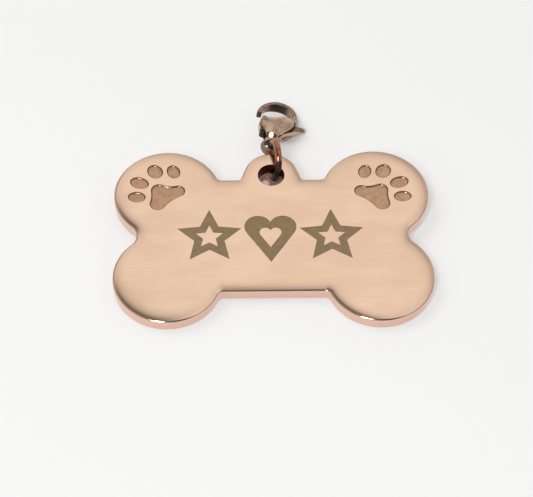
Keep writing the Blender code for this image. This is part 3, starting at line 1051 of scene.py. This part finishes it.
@dataclass(frozen=True)
class JumpRing:
    """The wire ring through the tab's hole. Lengths in millimetres."""

    wire: float = 1.1
    wire_sides: int = 32
    inner: float = 2.35
    turns: int = 128
    slit: float = 0.14
    slit_turn: float = radians(215)
    yaw: float = radians(8)
    lean: float = radians(10)
    shift: Pair = (0.56, 0.1)
    play: float = 0.12
    inner_darkening: Pair = (0.05, 0.495)
    inner_dark: float = 0.8
    # Painted shade where the wire goes down into the tab's hole.
    low_shade: Pair = (0.7, 0.83)
    low_shade_depth: float = 0.92

    @property
    def radius(self) -> float:
        """The radius of the wire's middle line."""
        return self.inner + self.wire / 2

    def stand(self, plate: TagPlate) -> Matrix:
        """Where the ring stands when the tag rests on its wire.

        Args:
            plate: The plate that it hangs in.

        Returns:
            The place, with X along the ring's axis and Y away over the tab.
        """
        low, high = plate.hole_v + plate.hole, plate.tab_v + plate.tab
        half_band = (high - low) / 2 / cos(self.yaw) + self.shift[1]
        half_plate = plate.thickness / 2 / cos(self.lean)
        free = self.inner - self.play
        lift = sqrt(max(free**2 - half_band**2, half_plate**2)) - half_plate
        middle_v = (low + high) / 2 + self.shift[1]
        turn = Matrix.Rotation(self.yaw, 4, "Z") @ Matrix.Rotation(self.lean, 4, "Y")
        return Matrix.Translation((self.shift[0], middle_v, plate.thickness / 2 + lift)) @ turn

    def darkening(self, place: Vector, _facing: Vector) -> float:
        """How dark the wire is on its inner side, with painted shade where it goes down the hole.
        """
        inwards = ramp(self.radius - place.yz.length, *self.inner_darkening)
        low = ramp(-place.y / self.radius, *self.low_shade)
        return max(inwards * self.inner_dark, low * self.low_shade_depth)

    def build(self, plate: TagPlate) -> bpy.types.Object:
        """Builds and dresses the ring, with the slit where its sawn ends meet.

        Args:
            plate: The plate that it hangs in.

        Returns:
            The piece.
        """
        shape = bmesh.new()
        bmesh.ops.create_circle(
            shape,
            cap_ends=True,
            segments=self.wire_sides,
            radius=self.wire / 2,
            matrix=Matrix.Translation((0, self.radius, 0)),
        )
        gap = self.slit / self.radius
        start = Matrix.Rotation(self.slit_turn + gap / 2, 3, "X")
        bmesh.ops.rotate(shape, verts=shape.verts, matrix=start)
        bmesh.ops.spin(
            shape, geom=shape.faces[:], axis=(1, 0, 0), angle=2 * pi - gap, steps=self.turns
        )
        bmesh.ops.recalc_face_normals(shape, faces=shape.faces)
        # The wire is darker on its inner side, and painted with shade where it goes into the hole.
        ring = darkened(to_mesh(shape, "ring"), self.darkening)
        ring.transform(self.stand(plate))
        return show(ring, "copper_ring", (Finish.COPPER,), "jump_ring", "ring")


@dataclass(frozen=True)
class ClaspShade:
    """Painted shade on the clasp, from 0 to 1: in its slot, eye and hook, and along its edges.

    A pair is where a mark starts and where it is full, in millimetres, or as a share of the way
    that the surface faces. Only nub_way is the way that the nub points. The margins are in
    millimetres.
    """

    clasp: "LobsterClasp"
    eye_wall: float
    front_facing: Pair = (0.2, 0.7)
    heel: float = 0.95
    heel_drop: Pair = (1.2, 1.7)
    heel_left: Pair = (-0.2, 0.2)
    nub_tip: float = 0.9
    nub_way: Pair = (0.8, 0.6)
    nub_facing: Pair = (0.1, 0.7)
    nub_end: Pair = (-0.7, 0.0)
    nub_front: float = 0.6
    nub_root: Pair = (0.0, 0.8)
    cheek_line: float = 0.95
    line_inner: Pair = (-0.3, -0.1)
    line_outer: Pair = (-0.42, -0.3)
    line_front: Pair = (0.2, 0.4)
    line_below: Pair = (-1.3, -0.9)
    line_back: Pair = (0.3, 0.45)
    left_side: float = 0.62
    left_out: Pair = (1.7, 2.2)
    left_drop: Pair = (0.3, 1.0)
    belly_left: float = 0.3
    belly_out: Pair = (0.2, 1.6)
    eye: float = 0.6
    eye_end: Pair = (-1.4, -0.6)
    eye_bore: float = 0.9
    bore_margin: float = 0.14
    bore_fade: Pair = (0.0, 0.1)
    hook_rim: float = 0.85
    rim_width: float = 0.3
    rim_drop: float = 0.5
    rim_facing: Pair = (0.15, 0.6)
    hook_band: float = 0.45
    band_margin: float = 0.1
    band_rise: Pair = (0.0, 1.5)
    hook_wall: float = 0.95
    wall_width: float = 0.3
    wall_facing: Pair = (0.3, 0.8)
    wall_top: Pair = (0.45, 0.95)
    hook_tip: float = 0.9
    tip_drop: float = 0.6
    tip_width: float = 0.2
    tip_end: Pair = (-0.45, 0.05)
    slot_margin: float = 0.03
    slot_fade: Pair = (0.0, 0.08)
    slot_below: float = 0.1
    slot_reach: float = 0.2

    def on_lever(self, place: Vector, facing: Vector) -> float:
        """The painted shade on the lever: its heel, its nub's tip and front, and along the cheeks.

        Args:
            place: A point in the clasp's own axes.
            facing: The way that the surface faces there.

        Returns:
            The painted shade.
        """
        clasp = self.clasp
        u, v, w = place
        off = clasp.off_cheek(place.xy)
        heel = ramp(clasp.arm.v - v, *self.heel_drop) * ramp(-u, *self.heel_left)
        outward = facing.xy.dot(Vector(self.nub_way))
        tip = ramp(outward, *self.nub_facing) * ramp(u - clasp.nub.u, *self.nub_end)
        front = ramp(facing.z, *self.front_facing)
        nub = ramp(u - clasp.shoulder.u, *self.nub_root) * front
        upper = ramp(off, *self.line_inner) * ramp(-off, *self.line_outer)
        upper *= ramp(w, *self.line_front)
        lower = ramp(-off, *self.line_below) * ramp(-w, *self.line_back) * (1 - front)
        return max(
            heel * self.heel,
            tip * self.nub_tip,
            nub * self.nub_front,
            upper * self.cheek_line,
            lower * self.cheek_line,
        )

    def on_casting(self, place: Vector, facing: Vector) -> float:
        """Painted shade on the casting: hook, slot between the cheeks, sides and eye.

        Args:
            place: A point in the clasp's own axes.
            facing: The way that the surface faces there.

        Returns:
            The painted shade.
        """
        clasp = self.clasp
        u, v, w = place
        from_hook = place.xy - Vector(clasp.hook)
        reach = max(from_hook.length, 0.01)
        inward = -facing.xy.dot(from_hook) / reach
        above = v - clasp.hook[1]
        slot_floor = clasp.slot_floor
        marks = [
            ramp(-u, *self.left_out) * ramp(-above, *self.left_drop) * self.left_side,
            ramp(-u, *self.belly_out) * ramp(v, slot_floor, clasp.pivot[1]) * self.belly_left,
            ramp(-v, *self.eye_end) * self.eye,
        ]
        if reach > clasp.hook_inner + clasp.hook_band - self.rim_width and above > -self.rim_drop:
            marks.append(ramp(-inward, *self.rim_facing) * self.hook_rim)
        if reach > clasp.hook_inner - self.band_margin:
            marks.append(ramp(above, *self.band_rise) * self.hook_band)
        if reach < clasp.hook_inner + self.wall_width and above > 0:
            round_top = ramp(from_hook.y / reach, *self.wall_top)
            marks.append(ramp(inward, *self.wall_facing) * round_top * self.hook_wall)
        if above > -self.tip_drop and from_hook.x < self.tip_width - clasp.hook_inner:
            marks.append(ramp(-above, *self.tip_end) * self.hook_tip)
        slot = clasp.slot_half + self.slot_margin
        between = v > slot_floor - self.slot_below and above < -self.slot_reach * clasp.hook_inner
        if between and abs(w) < slot:
            marks.append(ramp(slot - abs(w), *self.slot_fade))
        bore = self.eye_wall + self.bore_margin
        if place.xy.length < bore:
            marks.append(ramp(bore - place.xy.length, *self.bore_fade) * self.eye_bore)
        return max(marks)


@dataclass(frozen=True)
class LobsterClasp:
    """The lobster clasp: its casting, its lever, the lever's rivet and its spring.

    U runs across it, V from its eye to its hook, and W off its front. Lengths are in millimetres.
    """

    eye: float = 1.6
    eye_play: float = 1.06
    eye_slack: float = 0.3
    eye_thickness: float = 1.4
    eye_on_ring: float = radians(-10)
    eye_hollow: float = 2.2
    edge: float = 0.2
    neck: Disc = Disc(-0.15, 2.0, 0.85, 14.0)
    neck_root: float = 0.765
    neck_pitch: float = 1.15
    neck_start: float = 1.6
    neck_tilt: float = 0.12
    neck_round: float = 0.15
    belly_right: Disc = Disc(1.55, 5.6, 1.6, 8.0)
    belly_left: Disc = Disc(-1.3, 5.1, 1.1, 12.0)
    belly_edge: float = 2.35
    belly_thickness: float = 3.1
    crown_rings: tuple[float, ...] = (0.93, 0.86, 0.77, 0.68, 0.58, 0.48, 0.37, 0.26, 0.14)
    hook: Pair = (0.15, 7.7)
    hook_inner: float = 2.52
    hook_band: float = 0.8
    hook_thickness: float = 1.8
    hook_tip: float = 1.1
    hook_soft: float = 0.28
    hook_start: float = radians(-28)
    hook_end: float = radians(182)
    hook_turns: int = 72
    turn: float = radians(-8)
    slope: float = radians(-13)
    roll: float = radians(7)
    lever_thickness: float = 1.2
    lever_play: float = 0.11
    lever_edge: float = 0.12
    pivot: Pair = (0.9, 4.0)
    hub: float = 1.0
    hub_hollow: float = 6.0
    nub: Disc = Disc(4.57, 5.6, 0.55, 3.0)
    nub_start: float = 0.3
    nub_taper: float = 0.6
    gate: float = 0.36
    gate_hollow: float = 2.0
    gate_play: float = 0.15
    gate_turn: float = radians(194)
    gate_start: float = 0.9
    gate_end: float = 1.0
    gate_side: Pair = (0.4, 1.2)
    gate_taper: float = 0.55
    shoulder: Disc = Disc(2.3, 5.75, 0.8, 6.0)
    heel: Disc = Disc(-1.6, 3.2, 0.6, 2.0)
    arm: Disc = Disc(-1.38, 4.9, 1.15, 4.0)
    slot_floor: float = 1.95
    slot_top: float = 0.378
    slot_play: float = 0.17
    rivet: float = 0.4
    rivet_play: float = 0.07
    rivet_sides: int = 48
    head_sink: float = 0.095
    head_dome: tuple[Pair, ...] = ((0.08, 0.006), (0.14, 0.004))
    strip: float = 0.16
    strip_width: float = 0.9
    strip_gap: float = 0.12
    strip_off_hub: float = 0.144
    strip_foot: Pair = (-0.3, 0.35)
    strip_bow: Pair = (0.12, -0.1)
    strip_bend: Pair = (radians(296), radians(304))
    strip_tip: float = 0.02
    skin: float = 0.055
    casting_passes: int = 6
    lever_passes: int = 4

    @property
    def swell(self) -> float:
        """How far the cheeks' crown stands over its rim."""
        return (self.belly_thickness - self.belly_edge) / 2

    @property
    def crown_middle(self) -> Pair:
        """The middle of the cheeks' crown."""
        middle_u = (self.belly_right.u + self.belly_left.u) / 2
        return middle_u, (self.belly_right.v + self.belly_left.v + self.neck.v) / 3

    @property
    def slot_half(self) -> float:
        """Half the width of the slot between the cheeks."""
        return self.lever_thickness / 2 + self.lever_play

    def off_cheek(self, place: Vector, steps: int = 16) -> float:
        """How far a point lies outside the cheeks' lower right side.

        Args:
            place: The point, by U and V.
            steps: How many discs stand for that side.

        Returns:
            The distance, below 0 inside.
        """
        start = Vector((self.neck.u, self.neck.v))
        end = Vector((self.belly_right.u, self.belly_right.v))
        swelling = self.belly_right.radius - self.neck.radius
        shares = [step / steps for step in range(steps + 1)]
        return min(
            (place - start.lerp(end, share)).length - self.neck.radius - swelling * share
            for share in shares
        )

    def stand(self, ring: JumpRing, plate: TagPlate) -> Matrix:
        """Where the clasp lies: its eye hangs on the ring's far side.

        Args:
            ring: The ring in its eye.
            plate: The plate that the ring hangs in.

        Returns:
            The place of the clasp's own axes.
        """
        reach = ring.radius + self.eye_slack
        on_ring = Vector((0, reach * cos(self.eye_on_ring), reach * sin(self.eye_on_ring)))
        eye = ring.stand(plate) @ on_ring
        turn = Matrix.Rotation(self.turn, 4, "Z") @ Matrix.Rotation(self.slope, 4, "X")
        return Matrix.Translation(eye) @ turn @ Matrix.Rotation(self.roll, 4, "Y")

    def belly(self) -> bpy.types.Mesh:
        """The shield-shaped middle, crowned front and back.

        Returns:
            The mesh.
        """
        sketch = Sketch()
        sketch.around((self.neck, self.belly_right, self.belly_left), CAST_STEP)
        form = slab(sketch, self.belly_edge, self.edge)
        for lower in (False, True):
            form.crown(self.crown_middle, self.crown_rings, self.swell, lower)
        return form.mesh("belly")

    def eye_plate(self) -> bpy.types.Mesh:
        """The eye with its root, before its hole.

        Returns:
            The mesh.
        """
        eye = Disc(0, 0, self.eye, self.eye_hollow)
        root = Disc(self.neck.u, self.neck.v + self.neck_root, self.neck_root, self.eye_hollow)
        sketch = Sketch()
        sketch.around((eye, root), CAST_STEP)
        return slab(sketch, self.eye_thickness, self.edge).mesh("eye_plate")

    def hook_bar(self) -> bpy.types.Mesh:
        """The hook: a rounded bar spun over an arc, thinner towards its tip.

        Returns:
            The mesh.
        """
        soft = self.hook_soft
        outer = self.hook_inner + self.hook_band - soft
        inner = self.hook_inner + soft
        half = self.hook_thickness / 2 - soft
        section = Sketch()
        for i, corner in enumerate(((outer, half), (inner, half), (inner, -half), (outer, -half))):
            section.arc(corner, soft, i * pi / 2, (i + 1) * pi / 2, radians(15))
        shape = section.face()
        bmesh.ops.rotate(shape, verts=shape.verts, matrix=Matrix.Rotation(pi / 2, 3, "X"))
        bmesh.ops.rotate(shape, verts=shape.verts, matrix=Matrix.Rotation(self.hook_start, 3, "Z"))
        sweep = self.hook_end - self.hook_start
        bmesh.ops.spin(
            shape, geom=shape.faces[:], axis=(0, 0, 1), angle=sweep, steps=self.hook_turns
        )
        for vertex in shape.verts:
            past_top = atan2(-vertex.co.x, vertex.co.y) / (self.hook_end - pi / 2)
            thinning = 1 - self.hook_tip / self.hook_thickness
            vertex.co.z *= 1 - ramp(past_top, 0.0, 1.0) * thinning
        bmesh.ops.translate(shape, verts=shape.verts, vec=(*self.hook, 0))
        bmesh.ops.recalc_face_normals(shape, faces=shape.faces)
        return to_mesh(shape, "hook_bar")

    def slope_neck(self, mesh: bpy.types.Mesh) -> None:
        """Files the cheeks' lower ends to a slope that runs down to the thinner eye.

        Args:
            mesh: The casting, in the clasp's own axes.
        """
        for vertex in mesh.vertices:
            u, v, w = vertex.co
            slope = self.neck_pitch * max(v - self.neck_start, 0.0)
            limit = self.eye_thickness / 2 + slope + self.neck_tilt * u - self.neck_round * u * u
            if abs(u) < self.eye and v < self.pivot[1] and abs(w) > limit > 0:
                vertex.co.z = limit if w > 0 else -limit

    def taper(self, mesh: bpy.types.Mesh) -> None:
        """Thins the lever towards the end of its nub and towards its gate.

        Args:
            mesh: The lever, in the clasp's own axes.
        """
        nub_ends = (self.shoulder.u + self.nub_start, self.nub.u + self.nub.radius)
        gate_ends = (self.arm.v + self.gate_start, self.hook[1] - self.gate_end)
        for vertex in mesh.vertices:
            u, v, _ = vertex.co
            nub = ramp(u, *nub_ends) * self.nub_taper
            gate = ramp(v, *gate_ends) * ramp(-u, *self.gate_side) * self.gate_taper
            vertex.co.z *= 1 - max(nub, gate)

    def slot_tool(self) -> bpy.types.Mesh:
        """The cutter of the slot between the cheeks, open to both sides and up into the hook.

        Returns:
            The cutter.
        """
        beyond = self.nub.u + self.nub.radius
        right_top = self.shoulder.v + self.shoulder.radius + self.slot_play
        shoulder = self.shoulder.u - self.slot_play
        top = self.hook[1] - self.slot_top
        sketch = Sketch()
        for corner in (
            (-beyond, self.slot_floor),
            (beyond, self.slot_floor),
            (beyond, right_top),
            (shoulder, right_top),
            (shoulder - self.slot_play * 3, top),
            (-beyond, top),
        ):
            sketch.to(*corner)
        return Form(sketch.face(), -self.slot_half).grow(2 * self.slot_half).mesh("slot_tool")

    def round_tool(
        self, centre: Pair, radius: float, height: float, flare: float = 0.0
    ) -> bpy.types.Mesh:
        """A round cutter along W, with flared ends where a hole's rims are broken.

        Args:
            centre: Its middle.
            radius: Its radius.
            height: Its length along W.
            flare: How high its flared ends stand over the rims.

        Returns:
            The cutter.
        """
        wide = radius + FLARE_SPREAD * flare
        share = radius / wide
        steps = ((height, 1.0),)
        if flare:
            steps = ((2 * flare, share), (height - 2 * flare, 1.0), (2 * flare, 1 / share))
        shape = bmesh.new()
        place = Matrix.Translation((*centre, 0))
        bmesh.ops.create_circle(shape, cap_ends=True, segments=64, radius=wide, matrix=place)
        form = Form(shape, -height / 2 - flare)
        about = Matrix.Translation((-centre[0], -centre[1], 0))
        for rise, scale in steps:
            form.grow(rise)
            bmesh.ops.scale(shape, verts=form.high.verts, vec=(scale, scale, 1), space=about)
        return form.mesh("round_tool")

    def body(self, ring: JumpRing, plate: TagPlate) -> bpy.types.Object:
        """Builds the casting: eye, neck, two cheeks and hook, with its inner corners melted soft.

        Args:
            ring: The ring in its eye.
            plate: The plate that the ring hangs in.

        Returns:
            The piece.
        """
        eye_wall = (ring.wire + self.eye_play) / 2
        eye_tool = self.round_tool((0, 0), eye_wall, self.eye_thickness, self.edge)
        whole = boolean(self.belly(), [self.eye_plate(), self.hook_bar()], "UNION")
        skin = skinned(boolean(whole, [self.slot_tool(), eye_tool]), self.skin)
        self.slope_neck(skin)
        # The casting is painted with shade in its slot, eye and hook, and along its edges.
        casting = darkened(tumbled(skin, self.casting_passes), ClaspShade(self, eye_wall).on_casting)
        casting.transform(self.stand(ring, plate))
        bronze = (Finish.BRONZE,)
        return show(casting, "clasp_casting", bronze, "clasp_body", "clasp", None)

    def lever(self, ring: JumpRing, plate: TagPlate) -> bpy.types.Object:
        """Builds the rocking lever: heel, hub, thumb nub, shoulder, gate and arm.

        Args:
            ring: The ring in the clasp's eye.
            plate: The plate that the ring hangs in.

        Returns:
            The piece.
        """
        reach = self.hook_inner - self.gate - self.gate_play
        gate_u = self.hook[0] + reach * cos(self.gate_turn)
        gate_v = self.hook[1] + reach * sin(self.gate_turn)
        hub = Disc(*self.pivot, self.hub, self.hub_hollow)
        gate = Disc(gate_u, gate_v, self.gate, self.gate_hollow)
        sketch = Sketch()
        sketch.around((self.heel, hub, self.nub, self.shoulder, gate, self.arm), CAST_STEP)
        blank = slab(sketch, self.lever_thickness, self.lever_edge).mesh("lever")
        bore = self.round_tool(self.pivot, self.rivet + self.rivet_play, 2 * self.lever_thickness)
        skin = skinned(boolean(blank, [bore]), self.skin)
        self.taper(skin)
        eye_wall = (ring.wire + self.eye_play) / 2
        # The lever is painted with shade at its heel, its nub and along the cheeks.
        lever = darkened(tumbled(skin, self.lever_passes), ClaspShade(self, eye_wall).on_lever)
        lever.transform(self.stand(ring, plate))
        bronze = (Finish.BRONZE,)
        return show(lever, "clasp_gate", bronze, "clasp_lever", "lever", None)

    def cheek_height(self) -> float:
        """How far the crowned front stands off the middle at the pivot.

        Returns:
            The height.
        """
        middle_u, middle_v = self.crown_middle
        span = Vector((self.belly_right.u, self.belly_right.v - self.neck.v)).length
        reach = Vector((self.pivot[0] - middle_u, self.pivot[1] - middle_v)).length / span
        return self.belly_edge / 2 + self.swell * (1 - min(reach, 1.0) ** CROWN_POWER)

    def pin(self, ring: JumpRing, plate: TagPlate) -> bpy.types.Object:
        """Builds the rivet, whose domed heads lie nearly flush with the cheeks.

        Args:
            ring: The ring in the clasp's eye.
            plate: The plate that the ring hangs in.

        Returns:
            The piece.
        """
        shape = bmesh.new()
        bmesh.ops.create_circle(
            shape,
            cap_ends=True,
            segments=self.rivet_sides,
            radius=self.rivet,
            matrix=Matrix.Translation((*self.pivot, 0)),
        )
        half = self.cheek_height() - self.head_sink
        form = Form(shape, -half).grow(2 * half)
        for lower in (False, True):
            form.inset(list(self.head_dome), lower)
        rivet = form.mesh("rivet")
        rivet.transform(self.stand(ring, plate))
        bronze = (Finish.BRONZE,)
        return show(rivet, "clasp_rivet", bronze, "lever_rivet", "clasp")

    def spring(self, ring: JumpRing, plate: TagPlate) -> bpy.types.Object:
        """Builds the bent strip: a foot on the slot's floor, a bend, and a tip below the hub.

        Args:
            ring: The ring in the clasp's eye.
            plate: The plate that the ring hangs in.

        Returns:
            The piece.
        """
        floor = self.slot_floor + self.strip_gap + self.strip / 2
        reach = self.hub + self.strip_off_hub + self.strip / 2
        first, last = self.strip_bend
        bends = [
            Vector(self.pivot) + reach * Vector((cos(angle), sin(angle)))
            for angle in (first, (first + last) / 2, last)
        ]
        foot, toe = (Vector((end, floor)) for end in self.strip_foot)
        middle = (toe + bends[0]) / 2 + Vector(self.strip_bow)
        tip = bends[-1] + Vector((-sin(last), cos(last))) * self.strip_tip
        path = [foot, toe, middle, *bends, tip]
        sides: list[Vector] = []
        for turn in (1, -1):
            side = []
            for i, point in enumerate(path):
                along = (path[min(i + 1, len(path) - 1)] - path[max(i - 1, 0)]).normalized()
                side.append(point + Vector((-along.y, along.x)) * turn * self.strip / 2)
            sides += side[::turn]
        sketch = Sketch()
        for point in sides:
            sketch.to(*point)
        strip = Form(sketch.face(), -self.strip_width / 2).grow(self.strip_width).mesh("strip")
        strip.transform(self.stand(ring, plate))
        steel = (Finish.STEEL,)
        return show(strip, "clasp_spring", steel, "lever_spring", "clasp")

    def build(self, ring: JumpRing, plate: TagPlate) -> list[bpy.types.Object]:
        """Builds and dresses the clasp's four pieces."""
        return [make(ring, plate) for make in (self.body, self.lever, self.pin, self.spring)]


@dataclass(frozen=True)
class DimPatch:
    """A soft darker patch of the room, which the polished rims mirror. Reaches are in degrees."""

    towards: Place
    inner: float
    outer: float
    depth: float


@dataclass(frozen=True)
class Lamp:
    """An area lamp that points at the tag. Lengths are in metres, and its power in watts.

    Polished surfaces mirror it only where mirrored is true.
    """

    name: str
    place: Place
    size: Pair
    power: float
    mirrored: bool

    def hang(self) -> None:
        """Hangs the lamp."""
        light = bpy.data.lights.new(self.name, "AREA")
        light.shape = "RECTANGLE"
        light.size, light.size_y = self.size
        light.energy = self.power
        lamp = linked(self.name, light)
        lamp.location = self.place
        lamp.rotation_mode = "QUATERNION"
        lamp.rotation_quaternion = (-Vector(self.place)).to_track_quat("-Z", "Y")
        lamp.visible_glossy = self.mirrored


@dataclass(frozen=True)
class Studio:
    """The white sheet that the tag lies on, the room's light and the camera.

    The sheet's size is in metres. Its spots and the camera's eye are in millimetres.
    """

    sheet_tilt: float = radians(2.9)
    sheet_line: float = -16.5 * MM
    sheet_size: float = 4.0
    sheet_tone: Colour = (0.878, 0.878, 0.873)
    sheet_roughness: float = 0.85
    sheet_gloss: float = 0.2
    sheet_glow: float = 0.5
    # A painted brown shadow on the sheet under the tab's hole, with a painted spot of light in it.
    hole_foot: Place = (0.35, 13.1, -1.4)
    hole_shade: Pair = (1.7, 3.9)
    hole_shadow_tone: Colour = (0.46, 0.30, 0.245)
    gap_foot: Place = (-0.85, 12.75, -1.48)
    gap_light: Pair = (0.3, 0.85)
    gap_light_tone: Colour = (0.80, 0.61, 0.545)
    clasp_foot: Place = (3.3, 24.2, 0.0)
    clasp_shade: Pair = (2.2, 3.8)
    room_tone: Colour = (1.0, 1.0, 0.995)
    room_level: float = 1.02
    backdrop: float = 0.878
    skyline: Pair = (0.12, 0.42)
    skyline_away: Pair = (0.1, 0.7)
    skyline_depth: float = 0.6
    patches: tuple[DimPatch, ...] = (
        DimPatch((-0.03, -0.6, 0.8), 24.0, 42.0, 0.92),
        DimPatch((-0.42, 0.09, 0.9), 17.0, 33.0, 0.62),
        DimPatch((-0.3, 0.2, 0.93), 6.0, 28.0, 0.3),
        DimPatch((-0.2, 0.35, 0.91), 4.0, 18.0, 0.28),
        DimPatch((0.12, 0.85, 0.5), 8.0, 24.0, 0.2),
        DimPatch((0.55, 0.68, 0.48), 16.0, 34.0, 0.35),
        DimPatch((-0.75, 0.6, 0.25), 15.0, 40.0, 0.5),
        DimPatch((0.0, 1.0, 0.15), 8.0, 22.0, 0.4),
        DimPatch((0.9, -0.15, 0.35), 20.0, 43.0, 0.5),
    )
    lamps: tuple[Lamp, ...] = (
        Lamp("window", (-0.5, 0.3, 0.7), (0.5, 0.5), 2.3, False),
        Lamp("ceiling_lamp", (-0.17, -0.37, 0.54), (0.11, 0.26), 2.2, True),
    )
    focal_px: float = 2300.0
    picture_px: float = 533.0
    sensor: float = 36.0
    eye: Place = (-9.961, -212.992, 293.503)
    look: Place = (0.024797, 0.584824, -0.81078)
    up: Place = (0.008631, 0.810874, 0.585157)

    def paper(self) -> bpy.types.Material:
        """Makes the sheet's paper, which glows a little but for two places.

        Under the tab's hole it has a painted brown shadow with a painted spot of light that glows,
        as if light fell through the hole, and near the clasp it shows its real shadow alone.

        Returns:
            The material.
        """
        material, tree = new_material("white_sheet")
        off_hole = tree.between("DISTANCE", tree.point(), self.hole_foot)
        off_gap = tree.between("DISTANCE", tree.point(), self.gap_foot)
        off_clasp = tree.between("DISTANCE", tree.point((1.0, 1.0, 0.0)), self.clasp_foot)
        past_gap = tree.step(off_gap, *self.gap_light)
        # Painted shadow under the hole, with a painted spot of light that also glows.
        in_shade = (1 - tree.step(off_hole, *self.hole_shade)) * past_gap
        pale = tree.mix(past_gap, self.gap_light_tone, self.sheet_tone)
        paper = tree.node(
            "BsdfPrincipled",
            Base_Color=tree.mix(in_shade, pale, self.hole_shadow_tone),
            Roughness=self.sheet_roughness,
            Specular_IOR_Level=self.sheet_gloss,
        )
        glow = tree.node("Emission", Color=pale, Strength=1.0)
        by_eye = tree.node("LightPath", output="Is Camera Ray")
        by_mirror = tree.node("LightPath", output="Is Glossy Ray")
        bare = tree.step(off_clasp, *self.clasp_shade) * (1 - in_shade)
        glowing = (by_eye + by_mirror) * bare * self.sheet_glow
        mixed = tree.node("MixShader", i0=glowing, i1=paper, i2=glow)
        tree.node("OutputMaterial", output=None, Surface=mixed)
        return material

    def sheet(self) -> bpy.types.Object:
        """Lays the white sheet under the tag's lower lobes, its ring and its hook.

        Returns:
            The sheet.
        """
        tilt = Matrix.Rotation(-self.sheet_tilt, 4, "X")
        place = Matrix.Translation((0, self.sheet_line, 0)) @ tilt
        shape = bmesh.new()
        bmesh.ops.create_grid(
            shape, x_segments=1, y_segments=1, size=self.sheet_size / 2, matrix=place
        )
        mesh = to_mesh(shape, "sheet")
        mesh.materials.append(self.paper())
        sheet = linked("sheet", mesh)
        return sheet

    def room(self) -> None:
        """Fills the world: even light with dimmer patches, and plain white behind the object."""
        world = bpy.data.worlds.new("room")
        bpy.context.scene.world = world
        world.use_nodes = True
        tree = Tree(world.node_tree)
        towards = tree.node("TexCoord", output="Generated")
        low = 1 - tree.step(tree.along("Z", towards), *self.skyline)
        near = 1 - tree.step(tree.along("Y", towards), *self.skyline_away)
        level = 1 - low * near * self.skyline_depth
        for patch in self.patches:
            middle = tuple(Vector(patch.towards).normalized())
            facing = tree.between("DOT_PRODUCT", towards, middle)
            inside = tree.step(facing, cos(radians(patch.outer)), cos(radians(patch.inner)))
            level = level * (1 - inside * patch.depth)
        by_eye = tree.node("LightPath", output="Is Camera Ray")
        strength = (1 - by_eye) * level * self.room_level + by_eye * self.backdrop
        light = tree.node("Background", Color=self.room_tone, Strength=strength)
        tree.node("OutputWorld", output=None, Surface=light)

    def camera(self) -> None:
        """Sets up the camera where the photograph was taken from."""
        data = bpy.data.cameras.new("camera")
        data.sensor_width = self.sensor
        data.lens = self.focal_px * self.sensor / self.picture_px
        data.clip_start = 0.01
        back = -Vector(self.look).normalized()
        right = Vector(self.up).cross(back).normalized()
        turn = Matrix((right, back.cross(right), back)).transposed().to_4x4()
        camera = linked("camera", data)
        camera.matrix_world = Matrix.Translation(Vector(self.eye) * MM) @ turn
        bpy.context.scene.camera = camera

    def build(self) -> None:
        """Sets up the whole studio."""
        self.sheet()
        self.room()
        for lamp in self.lamps:
            lamp.hang()
        self.camera()
        bpy.context.scene.view_settings.view_transform = "Standard"


def main() -> None:
    """Builds the studio and every piece."""
    logging.basicConfig(level=logging.INFO, format="%(name)s: %(message)s")
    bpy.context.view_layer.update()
    Studio().build()
    for finish in Finish:
        MATERIALS[finish] = finish.value.material()
    plate, ring, clasp = TagPlate(), JumpRing(), LobsterClasp()
    plate.build()
    ring.build(plate)
    clasp.build(ring, plate)


if __name__ == "__main__":
    main()
